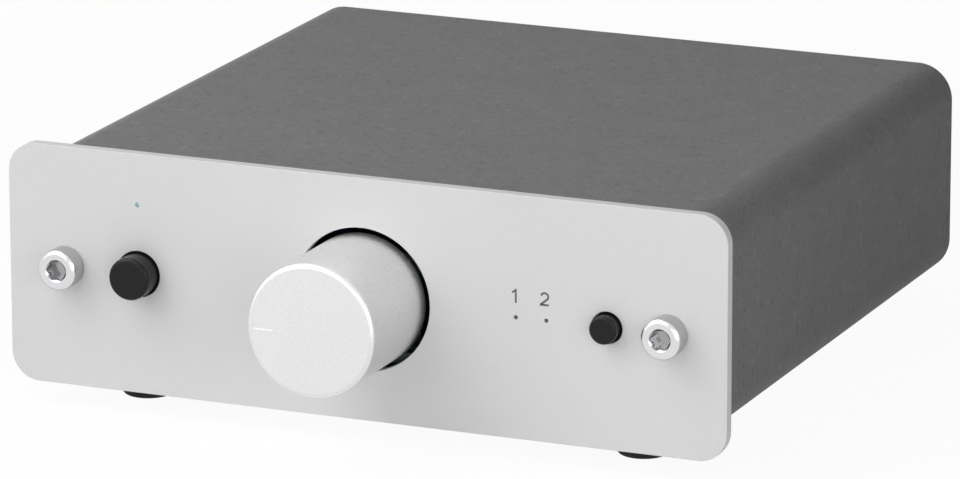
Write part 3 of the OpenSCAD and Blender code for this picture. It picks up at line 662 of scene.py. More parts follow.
@dataclass(frozen=True)
class Outline:
    """A closed outline round a middle, seen from the front."""

    x: float
    z: float

    def points(self, grow: float) -> list[Point]:
        """Returns the outline's points, moved outwards by grow."""
        raise NotImplementedError


@dataclass(frozen=True)
class Circle(Outline):
    """A circle."""

    radius: float
    steps: int = 96  # number of straight pieces

    def points(self, grow: float) -> list[Point]:
        """Returns the outline's points, moved outwards by grow."""
        return arc(self.x, self.z, self.radius + grow, 0, 360, self.steps)[:-1]


@dataclass(frozen=True)
class RoundBox(Outline):
    """A rectangle with round corners."""

    width: float
    height: float
    radius: float  # radius of its corners
    steps: int = 16  # number of straight pieces in a corner

    def points(self, grow: float) -> list[Point]:
        """Works out the outline's points.

        Args:
            grow: how far they are moved outwards.

        Returns:
            The points in order, as pairs of x and z.
        """
        made: list[Point] = []
        in_x, in_z = self.width / 2 - self.radius, self.height / 2 - self.radius
        for start, (sx, sz) in zip((0, 90, 180, 270), ((1, 1), (-1, 1), (-1, -1), (1, -1))):
            corner = (self.x + sx * in_x, self.z + sz * in_z)
            made += arc(*corner, self.radius + grow, start, start + 90, self.steps)
        return made


class HexMeets(Enum):
    """How a hexagon meets the round form that its rim is cut to."""

    INSIDE = "a nut's chamfer: the hexagon stays inside the circle"
    OUTSIDE = "a socket's countersink: the hexagon stays outside the circle"


@dataclass(frozen=True)
class Hexagon(Outline):
    """A hexagon whose corners or flats give way to a circle of radius grow."""

    flats: float  # width across the flats
    meets: HexMeets
    steps: int = 72  # number of straight pieces

    @property
    def corner(self) -> float:
        """The distance of a corner from the middle."""
        return self.flats / 2 / math.cos(math.radians(30))

    def points(self, grow: float) -> list[Point]:
        """Works out the outline's points.

        Args:
            grow: radius of the circle that the hexagon is cut to.

        Returns:
            The points in order, as pairs of x and z.
        """
        made: list[Point] = []
        choose: Callable[[float, float], float] = min if self.meets is HexMeets.INSIDE else max
        for i in range(self.steps):
            turn = 360 * i / self.steps
            off_flat = math.radians((turn + 30) % 60 - 30)
            radius = choose(self.flats / 2 / math.cos(off_flat), grow)
            made.append(polar(self.x, self.z, radius, turn + 30))
        return made


@dataclass(frozen=True)
class Fluted(Outline):
    """A circle with round flutes."""

    radius: float  # radius outside the flutes
    flutes: int
    depth: float  # depth of a flute
    narrow: float = 1.5  # how narrow a flute is for its pitch
    steps: int = 8  # number of straight pieces in a flute

    def points(self, grow: float) -> list[Point]:
        """Works out the outline's points.

        Args:
            grow: how far they are moved outwards.

        Returns:
            The points in order, as pairs of x and z.
        """
        made: list[Point] = []
        for i in range(self.flutes * self.steps):
            turn = 360 * i / (self.flutes * self.steps)
            dip = max(0.0, math.cos(math.radians(turn * self.flutes))) ** self.narrow
            made.append(polar(self.x, self.z, self.radius - self.depth * dip + grow, turn))
        return made


@dataclass(frozen=True)
class SleeveInside(Outline):
    """The inside of the extruded sleeve, with its screw channels and board rails."""

    width: float
    height: float
    radius: float  # radius of the corners
    channel_x: float  # distance of a screw channel's axis from the middle
    channel_radius: float
    web: float  # half the thickness of the web beside a channel
    rails: tuple[Point, ...]  # upper and lower face of each rail, below the middle
    rail_depth: float
    corner_steps: int = 12  # number of straight pieces in a corner
    channel_steps: int = 48  # number of straight pieces in a channel

    def points(self, grow: float) -> list[Point]:
        """Works out the outline's points.

        Args:
            grow: not used, because this outline is never moved.

        Returns:
            The points in order, as pairs of x and z.
        """
        half, corner_z = self.width / 2, self.height / 2 - self.radius
        corner_x = half - self.radius
        side = arc(corner_x, corner_z, self.radius, 90, 0, self.corner_steps)
        channel = (self.channel_x, 0, self.channel_radius)
        web_turn = math.degrees(math.asin(self.web / self.channel_radius))
        side.append((half, self.web))
        side += arc(*channel, web_turn, 360 - web_turn, self.channel_steps)
        side.append((half, -self.web))
        for top, bottom in self.rails:
            side += [(half, -top), (half - self.rail_depth, -top)]
            side += [(half - self.rail_depth, -bottom), (half, -bottom)]
        side.pop()
        rail_end = math.degrees(math.asin((self.rails[-1][1] - corner_z) / self.radius))
        side += arc(corner_x, -corner_z, self.radius, -rail_end, -90, self.corner_steps)
        outline = side + [(-x, z) for x, z in reversed(side)]
        return [(self.x + x, self.z + z) for x, z in outline]


Levels: TypeAlias = Sequence[Point]  # pairs of how far an outline has grown and its y
HOLD = 0.05  # a wall's first and last strip, which keep its shading straight


def rim_levels(
    y: float, way: int, edge: float, steps: int = 3, inside: bool = False
) -> list[Point]:
    """Returns the levels of a rounded rim, from the wall's end inwards.

    Args:
        y: where the wall ends.
        way: 1 if the wall goes on towards +Y, otherwise -1.
        edge: radius of the rim.
        steps: number of straight pieces in the rim.
        inside: whether it is the rim of a hole, which widens at its end.

    Returns:
        Pairs of how far the outline has grown and its y.
    """
    out = edge if inside else -edge
    turns = (math.radians(90 * i / steps) for i in range(steps + 1))
    made = [(out * (1 - math.sin(a)), y + way * edge * (1 - math.cos(a))) for a in turns]
    return [*made, (0.0, y + way * (edge + HOLD))]


def rounded_levels(y0: float, y1: float, edge: float, inside: bool = False) -> list[Point]:
    """Returns the levels of a wall along Y whose two rims are rounded off.

    Args:
        y0: where the wall starts.
        y1: where it ends.
        edge: radius of its rims.
        inside: whether it is the wall of a hole.

    Returns:
        Pairs of how far the outline has grown and its y.
    """
    end = rim_levels(y1, -1, edge, inside=inside)
    return rim_levels(y0, 1, edge, inside=inside) + end[::-1]


# ------------------------------------------------------------------ solids


class Solid:
    """A mesh under construction, in millimetres, which ends as a finished piece."""

    MERGE = 0.0005  # points nearer than this are one
    SHARP = math.radians(40)

    def __init__(self) -> None:
        """Starts an empty mesh."""
        self.bm = bmesh.new()
        self.flat: list[bmesh.types.BMFace] = []

    def wall(self, outline: Outline, levels: Levels) -> tuple[Edges, Edges]:
        """Draws an outline and extrudes it along Y.

        Args:
            outline: what is extruded.
            levels: pairs of how far the outline has grown and its y.

        Returns:
            The edges of the first and of the last level.
        """
        rings = [[Vector((x, y, z)) for x, z in outline.points(grow)] for grow, y in levels]
        verts = [self.bm.verts.new(place) for place in rings[0]]
        edges = [self.bm.edges.new(pair) for pair in zip(verts, verts[1:] + verts[:1])]
        first = edges
        for ring in rings[1:]:
            made = bmesh.ops.extrude_edge_only(self.bm, edges=edges)["geom"]
            new = {part for part in made if isinstance(part, bmesh.types.BMVert)}
            verts = [
                next(v for v in (e.other_vert(old) for e in old.link_edges) if v in new)
                for old in verts
            ]
            for vert, place in zip(verts, ring):
                vert.co = place
            edges = [self.bm.edges.get(pair) for pair in zip(verts, verts[1:] + verts[:1])]
        return first, edges

    def fill(self, *rims: Edges) -> None:
        """Closes the flat space between one outer rim and any inner ones.

        Args:
            *rims: the edges of each rim.
        """
        edges = [edge for rim in rims for edge in rim]
        made = bmesh.ops.triangle_fill(self.bm, edges=edges, use_beauty=True)["geom"]
        self.flat += [part for part in made if isinstance(part, bmesh.types.BMFace)]

    def body(self, *walls: tuple[Outline, Levels]) -> None:
        """Makes an outer wall and any inner ones, and closes both ends between them.

        Args:
            *walls: outline and levels of each wall, which all start at the same end.
        """
        rims = [self.wall(*wall) for wall in walls]
        self.fill(*(first for first, _ in rims))
        self.fill(*(last for _, last in rims))

    def extend(self, start: Edges, outline: Outline, levels: Levels) -> None:
        """Makes a closed recess or stud in the flat face that a rim encloses.

        Args:
            start: the rim's edges.
            outline: outline of the recess or stud.
            levels: its levels, from the face to its end.
        """
        foot, end = self.wall(outline, levels)
        self.fill(start, foot)
        self.fill(end)

    def plate(
        self, outer: Outline, holes: Iterable[tuple[Outline, float]], depth: Point, edge: float
    ) -> None:
        """Makes a plate with rounded rims.

        Args:
            outer: its outline.
            holes: outline and rim radius of each hole.
            depth: its front and back.
            edge: radius of the outer rims.
        """
        walls = [(outer, rounded_levels(*depth, edge))]
        walls += [(hole, rounded_levels(*depth, rim, inside=True)) for hole, rim in holes]
        self.body(*walls)

    def turn(
        self, profile: Levels, x: float, z: float, closed: bool = True, steps: int = 96
    ) -> None:
        """Spins a profile round an axis along Y.

        Args:
            profile: pairs of y and radius.
            x: the axis's x.
            z: the axis's z.
            closed: whether the profile's last point joins its first.
            steps: number of straight pieces in the turn.
        """
        verts = [self.bm.verts.new((x + radius, y, z)) for y, radius in profile]
        ends = verts[1:] + verts[:1] if closed else verts[1:]
        edges = [self.bm.edges.new(pair) for pair in zip(verts, ends)]
        bmesh.ops.spin(
            self.bm,
            geom=[*verts, *edges],
            cent=(x, 0, z),
            axis=(0, 1, 0),
            angle=math.tau,
            steps=steps,
            use_merge=True,
        )

    def soften(self, width: float, where: Callable[[Vector], bool], segments: int) -> None:
        """Rounds the sharp edges that where picks by their middle.

        Args:
            width: how far each edge is cut back.
            where: tells from an edge's middle whether it is rounded.
            segments: number of straight pieces across the edge.
        """
        bmesh.ops.remove_doubles(self.bm, verts=self.bm.verts, dist=self.MERGE)
        bmesh.ops.recalc_face_normals(self.bm, faces=self.bm.faces)
        picked = []
        for edge in self.bm.edges:
            middle = (edge.verts[0].co + edge.verts[1].co) / 2
            if len(edge.link_faces) == 2 and edge.calc_face_angle() > self.SHARP and where(middle):
                picked.append(edge)
        bmesh.ops.bevel(
            self.bm,
            geom=picked,
            offset=width,
            offset_type="OFFSET",
            segments=segments,
            profile=0.5,
            affect="EDGES",
            material=-1,
        )

    def finish(
        self, name: str, finish: Finish, replaces: str | None, body: str = "chassis"
    ) -> bpy.types.Object:
        """Ends the mesh and makes it a piece of the object.

        Args:
            name: the piece's name.
            finish: what it is finished in.
            replaces: the CAD node that it stands for, or None.
            body: the CAD body that it moves with.

        Returns:
            The new object, at the origin.
        """
        bm = self.bm
        for face in bm.faces:
            face.smooth = True
        bmesh.ops.remove_doubles(bm, verts=bm.verts, dist=self.MERGE)
        bmesh.ops.recalc_face_normals(bm, faces=bm.faces)
        bmesh.ops.scale(bm, vec=(MM, MM, MM), verts=bm.verts)
        bm.faces.index_update()
        flat = [face.index for face in self.flat if face.is_valid]
        mesh = bpy.data.meshes.new(name)
        bm.to_mesh(mesh)
        bm.free()
        mesh.set_sharp_from_angle(angle=self.SHARP)
        for index in flat:
            mesh.polygons[index].use_smooth = False
        mesh.materials.append(finish.material())
        piece = bpy.data.objects.new(name, mesh)
        bpy.context.scene.collection.objects.link(piece)
        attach(piece, body)
        if replaces:
            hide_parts(replaces)
        log.info("%s: %d faces in %s", name, len(mesh.polygons), finish.name)
        return piece


def turned_row(
    name: str,
    finish: Finish,
    node: str,
    profile: Levels,
    places: Iterable[float],
    closed: bool = True,
    steps: int = 96,
) -> None:
    """Makes a row of equal turned parts, which stands for one CAD node of the chassis.

    Args:
        name: the piece's name.
        finish: what it is finished in.
        node: the CAD node.
        profile: pairs of y and radius.
        places: the x of each part.
        closed: whether the profile's last point joins its first.
        steps: number of straight pieces in a turn.
    """
    solid = Solid()
    for x in places:
        solid.turn(profile, x, Extent.of(node).middle[1], closed, steps)
    solid.finish(name, finish, node)


# ------------------------------------------------------------------ case


@dataclass(frozen=True)
class Case:
    """Front panel, sleeve, rear panel and feet. Sizes of holes and feet are radii."""

    panel_corner: float = 4.0
    sleeve_corner: float = 5.0  # corner of the sleeve and the rear panel
    sleeve_edge: float = 0.08
    panel_edge: float = 0.1  # edge of the panels and of most of their holes
    button_edge: float = 0.08  # edge of a button's hole
    light_edge: float = 0.03  # edge of a light's hole
    wall: float = 1.6  # thickness of the sleeve's wall
    knob_gap: float = 0.75
    button_gap: float = 0.25
    power_hole: float = 0.35  # hole before the power light
    select_hole: float = 0.3  # hole before a selector light
    screw_hole: float = 1.7
    channel: float = 3.0  # outside of a screw channel
    channel_bore: float = 1.55
    channel_web: float = 2.0
    rail: float = 1.0  # thickness of a board rail
    rail_depth: float = 2.0
    board_play: float = 0.1  # gap between board and rail
    socket_hole: float = 4.6  # hole round a phono socket
    post_hole: float = 2.25
    supply_hole: float = 4.25
    usb_gap: float = 0.25
    usb_corner: float = 0.3  # corner of the hole round the USB socket
    foot_top: float = 4.0  # a foot where it is glued on
    foot_tip: float = 3.5  # a foot where it stands
    foot_edge: float = 0.5

    def build(self) -> None:
        """Makes the case's pieces."""
        self._front_panel()
        self._sleeve()
        self._rear_panel()
        self._feet()

    def _row(self, node: str, radius: float, steps: int) -> list[Circle]:
        """Returns a circle round each of a node's two outermost round parts.

        Args:
            node: the CAD node, whose parts are as wide as they are high.
            radius: radius of the circles.
            steps: number of straight pieces in each of them.

        Returns:
            The left and the right circle.
        """
        parts = Extent.of(node)
        ends = parts.inset(0, parts.size.z / 2)
        return [Circle(x, parts.middle[1], radius, steps) for x in ends]

    def _sleeve_outline(self, part: Extent) -> RoundBox:
        """Returns the outline that the sleeve and the rear panel share, for one of them."""
        return RoundBox(0, part.middle[1], part.size.x, part.size.z, self.sleeve_corner, steps=24)

    def _front_panel(self) -> None:
        """Makes the front panel."""
        panel, knob = Extent.of("front_panel"), Extent.of("gain_knob")
        wide = self._row("front_screws", self.screw_hole, steps=48)
        wide.append(Circle(*knob.middle, knob.size.x / 2 + self.knob_gap, steps=144))
        holes = [(hole, self.panel_edge) for hole in wide]
        for button in (Extent.of("power_button"), Extent.of("selector_button")):
            radius = button.size.x / 2 + self.button_gap
            holes.append((Circle(*button.middle, radius), self.button_edge))
        lights = [Circle(*Extent.of("power_light").middle, self.power_hole, steps=32)]
        lights += self._row("selector_lights", self.select_hole, steps=32)
        holes += [(hole, self.light_edge) for hole in lights]
        outer = RoundBox(*panel.middle, panel.size.x, panel.size.z, self.panel_corner)
        solid = Solid()
        solid.plate(outer, holes, panel.depth, self.panel_edge)
        solid.finish("panel_front", PANEL_METAL, "front_panel")

    def _sleeve(self) -> None:
        """Makes the extruded sleeve."""
        sleeve, board = Extent.of("case_sleeve"), Extent.of("main_board")
        bores = self._row("front_screws", self.channel_bore, steps=48)
        middle = sleeve.middle[1]
        upper = middle - board.high.z - self.board_play
        lower = middle - board.low.z + self.board_play
        inside = SleeveInside(
            x=0.0,
            z=middle,
            width=sleeve.size.x - 2 * self.wall,
            height=sleeve.size.z - 2 * self.wall,
            radius=self.sleeve_corner - self.wall,
            channel_x=bores[1].x,
            channel_radius=self.channel,
            web=self.channel_web / 2,
            rails=((upper - self.rail, upper), (lower, lower + self.rail)),
            rail_depth=self.rail_depth,
        )
        holes = [(hole, 0.0) for hole in (inside, *bores)]
        outer = self._sleeve_outline(sleeve)
        solid = Solid()
        solid.plate(outer, holes, sleeve.depth, self.sleeve_edge)
        solid.finish("sleeve", COAT, "case_sleeve")

    def _rear_panel(self) -> None:
        """Makes the rear panel."""
        panel, usb = Extent.of("rear_panel"), Extent.of("usb_shell")
        supply, post = Extent.of("supply_socket"), Extent.of("ground_washer")
        holes: list[Outline] = [*self._row("front_screws", self.screw_hole, steps=48)]
        holes += [Circle(x, panel.middle[1], self.socket_hole) for x in PhonoSockets().places()]
        holes.append(Circle(*post.middle, self.post_hole, steps=48))
        holes.append(Circle(supply.middle[0], SupplySocket().height(), self.supply_hole))
        width, height = (size + 2 * self.usb_gap for size in (usb.size.x, usb.size.z))
        holes.append(RoundBox(*usb.middle, width, height, self.usb_corner, steps=4))
        outer = self._sleeve_outline(panel)
        edged = ((hole, self.panel_edge) for hole in holes)
        solid = Solid()
        solid.plate(outer, edged, panel.depth, self.panel_edge)
        solid.finish("panel_rear", COAT, "rear_panel")

    def _feet(self) -> None:
        """Makes the four feet, each a cone with a rounded rim."""
        feet = Extent.of("rubber_feet")
        solid = Solid()
        for x, y in product(feet.inset(0, self.foot_top), feet.inset(1, self.foot_top)):
            bmesh.ops.create_cone(
                solid.bm,
                cap_ends=True,
                segments=64,
                radius1=self.foot_tip,
                radius2=self.foot_top,
                depth=feet.size.z,
                matrix=Matrix.Translation((x, y, feet.middle[1])),
            )
        near_floor = feet.low.z + self.foot_edge / 5
        solid.soften(self.foot_edge, lambda middle: middle.z < near_floor, segments=4)
        solid.finish("feet", RUBBER, "rubber_feet")


@dataclass(frozen=True)
class PanelScrews:
    """Four cap screws with hexagon sockets, two in each panel.

    The crown is the rounded bevel round a head, as pairs of growth and depth.
    """

    shank: float = 1.5  # radius of the thread
    head: float = 3.0  # height of a head
    crown: tuple[Point, ...] = ((-0.46, 0.0), (-0.38, 0.03), (-0.05, 0.35), (0.0, 0.44))
    under: float = 0.1  # bevel of a head's underside
    flats: float = 2.5  # width across the flats of the socket
    deep: float = 1.6  # depth of the socket
    sink: float = 0.1  # how far its countersink is wider than its corners
    sink_steps: int = 6
    tip: float = 0.4  # bevel of the tip

    def build(self) -> None:
        """Makes the front and the rear screws."""
        for node, way in (("front_screws", 1), ("rear_screws", -1)):
            screws = Extent.of(node)
            radius = screws.size.z / 2
            solid = Solid()
            for x in screws.inset(0, radius):
                head = Circle(x, screws.middle[1], radius, steps=72)
                self._screw(solid, head, screws.depth[::way][0], screws.size.y, way)
            solid.finish(node.replace("_", "_cap_"), SCREW_METAL, node)

    def _screw(self, solid: Solid, head: Circle, face_y: float, length: float, way: int) -> None:
        """Adds one screw.

        Args:
            solid: the mesh that it is added to.
            head: outline of its head.
            face_y: y of its head's face.
            length: its whole length.
            way: 1 if it points to +Y, otherwise -1.
        """
        x, z, flat = head.x, head.z, self.flats / 2

        def levels(*steps: Point) -> list[Point]:
            """Turns depths behind the face into levels."""
            return [(grow, face_y + way * depth) for grow, depth in steps]

        seat = ((0.0, self.head - self.under), (-self.under, self.head))
        face, under = solid.wall(head, levels(*self.crown, *seat))
        mouth = Hexagon(x, z, self.flats, HexMeets.OUTSIDE)
        widest = mouth.corner + self.sink
        sunk = [(widest - flat) * i / self.sink_steps for i in range(self.sink_steps + 1)]
        cone = ((widest - depth, depth) for depth in sunk)
        solid.extend(face, mouth, levels(*cone, (0.0, self.deep)))
        tip = levels((0.0, self.head), (0.0, length - self.tip), (-self.tip, length))
        solid.extend(under, Circle(x, z, self.shank, steps=48), tip)


# ------------------------------------------------------------------ controls


@dataclass(frozen=True)
class GainKnob:
    """The turned gain knob with its pointer groove."""

    rim: float = 0.6  # radius of the edge round its face
    rear_edge: float = 0.15
    bore: float = 6.05  # radius of the bore for the insert
    face: float = 3.0  # thickness of its face
    groove_width: float = 0.9
    groove_length: float = 2.9
    groove_depth: float = 0.1
    groove_edge: float = 0.9  # distance of the groove from the knob's side
    groove_corner: float = 0.2

    def build(self) -> None:
        """Makes the knob."""
        knob = Extent.of("gain_knob")
        (x, z), (front, back) = knob.middle, knob.depth
        radius = knob.size.x / 2
        rear = rim_levels(back, -1, self.rear_edge)[::-1]
        levels = rim_levels(front, 1, self.rim, steps=8) + rear
        solid = Solid()
        face, end = solid.wall(Circle(x, z, radius, steps=160), levels)
        groove_x = x - radius + self.groove_edge + self.groove_length / 2
        size = (self.groove_length, self.groove_width)
        groove = RoundBox(groove_x, z, *size, self.groove_corner, steps=4)
        solid.extend(face, groove, [(0.0, front), (0.0, front + self.groove_depth)])
        solid.extend(end, Circle(x, z, self.bore), [(0.0, back), (0.0, front + self.face)])
        solid.finish("knob_gain", KNOB_METAL, "gain_knob", "knob")


@dataclass(frozen=True)
class PushButton:
    """A round push button with a square hole for its stem."""

    node: str  # the CAD node that it stands for
    body: str  # the body that it moves with
    rim: float  # radius of the edge round its face
    stem: float  # width of the hole for the stem
    grip: float = 3.4  # depth of that hole
    rear_edge: float = 0.2
    stem_corner: float = 0.1

    def build(self) -> None:
        """Makes the button."""
        button = Extent.of(self.node)
        front, back = button.depth
        edge = back - self.rear_edge
        levels = rim_levels(front, 1, self.rim, steps=6)
        levels += [(0.0, edge - HOLD), (0.0, edge), (-self.rear_edge, back)]
        solid = Solid()
        face, end = solid.wall(Circle(*button.middle, button.size.x / 2), levels)
        solid.fill(face)
        hole = RoundBox(*button.middle, self.stem, self.stem, self.stem_corner, steps=2)
        solid.extend(end, hole, [(0.0, back), (0.0, back - self.grip)])
        solid.finish("cap_" + self.node, BUTTON_PLASTIC, self.node, self.body)


@dataclass(frozen=True)
class SwitchSpring:
    """The coil spring behind a button."""

    node: str  # the CAD node that it stands for
    joint: str  # the joint of the button
    travel: float  # how far the button moves
    turns: int
    wire: float = 0.4  # diameter of its wire
    wire_steps: int = 12  # number of straight pieces round the wire
    turn_steps: int = 32  # number of straight pieces in a turn

    def build(self) -> None:
        """Makes the spring by spinning a ring of wire along its axis."""
        spring = Extent.of(self.node)
        (x, z), length = spring.middle, spring.size.y
        start = (spring.high.x - self.wire / 2, spring.low.y + self.wire / 2, z)
        steps = self.turns * self.turn_steps
        solid = Solid()
        ring = bmesh.ops.create_circle(
            solid.bm,
            cap_ends=False,
            radius=self.wire / 2,
            segments=self.wire_steps,
            matrix=Matrix.Translation(start),
        )["verts"]
        bmesh.ops.spin(
            solid.bm,
            geom=[*ring, *solid.bm.edges],
            cent=(x, 0, z),
            axis=(0, -1, 0),
            dvec=(0, (length - self.wire) / steps, 0),
            angle=math.tau * self.turns,
            steps=steps,
            use_merge=False,
        )
        ends = [edge for edge in solid.bm.edges if edge.is_boundary]
        bmesh.ops.holes_fill(solid.bm, edges=ends, sides=self.wire_steps)
        piece = solid.finish("coil_" + self.node, SPRING_WIRE, self.node)
        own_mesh(piece)


@dataclass(frozen=True)
class Indicators:
    """The power light, the two selector lights and their printed numbers."""

    flange: float = 1.0  # thickness of a light's rim
    flange_out: float = 0.4  # how far the rim stands out
    flange_root: Point = (0.05, 0.03)  # depth and height of the fillet before it
    numeral_height: float = 1.87
    numeral_up: float = 1.98  # height of a numeral's foot above the lights
    numeral_left: float = 0.22  # how far its middle stands left of its light
    stem_right: float = 0.25  # how far the 1's stem stands right of its middle
    flag: tuple[Point, ...] = ((-0.52, -0.52), (-0.2, -0.3))  # its flag, from its top
    bowl: float = 0.5  # radius of the bowl of the 2
    bowl_right: float = 0.02  # how far it stands right of the numeral's middle
    bowl_turn: Point = (165.0, -35.0)  # degrees between which it runs
    base: Point = (-0.52, 0.58)  # ends of the base of the 2, from its middle
    heel: float = 0.05  # height at which its slope meets the base
    stroke: float = 0.27  # width of the strokes
    mitre: float = 0.5  # keeps the outer side of a sharp turn from reaching far out
    proud: float = 0.012  # how far the print stands on the panel

    def build(self) -> None:
        """Makes the lights and the numerals."""
        self._lights("power_light", BLUE_LIGHT)
        self._lights("selector_lights", RED_LENS)
        lights = Extent.of("selector_lights")
        one_x, two_x = (x - self.numeral_left for x in lights.inset(0, lights.size.z / 2))
        foot = lights.middle[1] + self.numeral_up
        top, half = foot + self.numeral_height, self.stroke / 2
        stem = one_x + self.stem_right
        one = [(stem + x, top + z) for x, z in self.flag]
        one += [(stem, top - half), (stem, foot)]
        bowl_x, bowl_z = two_x + self.bowl_right, top - half - self.bowl
        (left, right), base = (two_x + x for x in self.base), foot + half
        two = arc(bowl_x, bowl_z, self.bowl, *self.bowl_turn, steps=14)
        two += [(left, base + self.heel), (left, base), (right, base)]
        self._print("numeral_1", one)
        self._print("numeral_2", two)

    def _lights(self, node: str, finish: Finish) -> None:
        """Makes the domed bodies of one node's lights.

        Args:
            node: the CAD node of one or two lights.
            finish: what they are finished in.
        """
        lights = Extent.of(node)
        front, back = lights.depth
        wide = lights.size.z / 2
        radius = wide - self.flange_out
        start = back - self.flange
        profile = arc(front + radius, 0, radius, 180, 90, steps=9)
        deep, high = self.flange_root
        profile += [(start - deep, radius), (start, radius + high), (start + deep, wide)]
        profile += [(back, wide), (back, 0.0)]
        places = sorted({round(x, 4) for x in lights.inset(0, wide)})
        turned_row("lens_" + node, finish, node, profile, places, closed=False, steps=48)

    def _print(self, name: str, line: Sequence[Point]) -> None:
        """Prints one stroke on the panel: a flat ribbon that is given its thickness.

        Args:
            name: the piece's name.
            line: middle line of the stroke.
        """
        level = Vector((0, Extent.of("front_panel").low.y - self.proud, 0))
        places = [Vector((x, 0, z)) for x, z in line]
        solid = Solid()
        bm = solid.bm
        pair: list[bmesh.types.BMVert] = []
        faces: list[bmesh.types.BMFace] = []
        for i, place in enumerate(places):
            before = (place - places[i - 1] if i else places[1] - place).normalized()
            after = (places[i + 1] - place).normalized() if i + 1 < len(places) else before
            along = (before + after).normalized()
            reach = self.stroke / 2 / max(self.mitre, along.dot(before))
            side = Vector((along.z, 0, -along.x)) * reach
            new = [bm.verts.new(place + side + level), bm.verts.new(place - side + level)]
            if pair:
                faces.append(bm.faces.new((pair[0], pair[1], new[1], new[0])))
            pair = new
        sunk = bmesh.ops.extrude_face_region(bm, geom=faces)["geom"]
        verts = [part for part in sunk if isinstance(part, bmesh.types.BMVert)]
        bmesh.ops.translate(bm, vec=(0, 2 * self.proud, 0), verts=verts)
        solid.finish(name, INK, None)


# ------------------------------------------------------------------ sockets


@dataclass(frozen=True)
class PhonoSockets:
    """Two pairs of phono sockets.

    Each curve shapes one edge, as pairs of depth behind it and drop below its radius.
    """

    pitch: float = 12.0  # distance between two sockets
    barrel: float = 4.15  # radius of a barrel
    barrel_wall: float = 0.7
    root: float = 4.35  # radius of a barrel's wider root
    root_curve: tuple[Point, ...] = ((0.15, 0.0), (0.0, 0.12))
    collar: float = 0.6  # how far the root stands out of the panel
    step: float = 0.02  # depth of the step from root to barrel
    end_curve: tuple[Point, ...] = ((0.4, 0.0), (0.12, 0.24), (0.0, 0.44))
    mouth_curve: tuple[Point, ...] = ((0.0, -0.08), (0.1, 0.0))
    contact: float = 2.25  # radius of a centre contact
    contact_wall: float = 0.6
    contact_curve: tuple[Point, ...] = ((0.0, -0.15), (0.2, 0.0))
    insulator_curve: tuple[Point, ...] = ((0.15, 0.0), (0.0, 0.15))
    mouth: float = 1.8  # radius of the hole in an insulator's end
    hole_curve: tuple[Point, ...] = ((0.0, -0.35), (0.3, 0.0))
    lip: float = 1.0  # thickness of that end
    fit: float = 0.05  # gap between pushed-together parts

    def pairs(self) -> list[Point]:
        """Returns the x of the two sockets of the input and of the output."""
        middles = (Extent.of(node).middle[0] for node in ("input_barrels", "output_barrels"))
        return [(x - self.pitch / 2, x + self.pitch / 2) for x in middles]

    def places(self) -> list[float]:
        """Returns the x of all four sockets."""
        return [x for pair in self.pairs() for x in pair]

    def build(self) -> None:
        """Makes barrels, insulators and contacts."""
        inputs, outputs = self.pairs()
        self._barrels("input_barrels", inputs)
        self._barrels("output_barrels", outputs)
        self._insulators("left_insulators", (inputs[1], outputs[1]), WHITE_MOULDING)
        self._insulators("right_insulators", (inputs[0], outputs[0]), RED_MOULDING)
        self._contacts()

    @staticmethod
    def _edge(y: float, radius: float, curve: Iterable[Point]) -> list[Point]:
        """Returns a curve's points at an edge with that y and radius."""
        return [(y - depth, radius - drop) for depth, drop in curve]

    def _barrels(self, node: str, places: Point) -> None:
        """Makes the barrels of one pair.

        Args:
            node: the pair's CAD node.
            places: the x of its two sockets.
        """
        inner, end = Extent.of(node).depth
        collar = Extent.of("rear_panel").high.y + self.collar
        bore = self.barrel - self.barrel_wall
        profile = [
            (inner, bore),
            (inner, self.root),
            *self._edge(collar, self.root, self.root_curve),
            (collar + self.step, self.barrel),
            *self._edge(end, self.barrel, self.end_curve),
            *self._edge(end, bore, self.mouth_curve),
        ]
        turned_row("plated_" + node, GOLD, node, profile, places)

    def _insulators(self, node: str, places: Point, finish: Finish) -> None:
        """Makes the insulators of one colour.

        Args:
            node: their CAD node.
            places: the x of their two sockets.
            finish: what they are finished in.
        """
        insulators = Extent.of(node)
        start, end = insulators.depth
        outer, inner = insulators.size.z / 2, self.contact + self.fit
        profile = [
            (start, inner),
            (start, outer),
            *self._edge(end, outer, self.insulator_curve),
            *self._edge(end, self.mouth, self.hole_curve),
            (end - self.lip, self.mouth),
            (end - self.lip, inner),
        ]
        turned_row("moulded_" + node, finish, node, profile, places)

    def _contacts(self) -> None:
        """Makes the four centre contacts, closed at their inner end."""
        node = "centre_contacts"
        start, end = Extent.of(node).depth
        bore, floor = self.contact - self.contact_wall, start + self.contact_wall
        profile = [
            (start, 0.0),
            (start, self.contact),
            (end, self.contact),
            *self._edge(end, bore, self.contact_curve),
            (floor, bore),
            (floor, 0.0),
        ]
        turned_row("plated_" + node, GOLD, node, profile, self.places(), closed=False, steps=64)


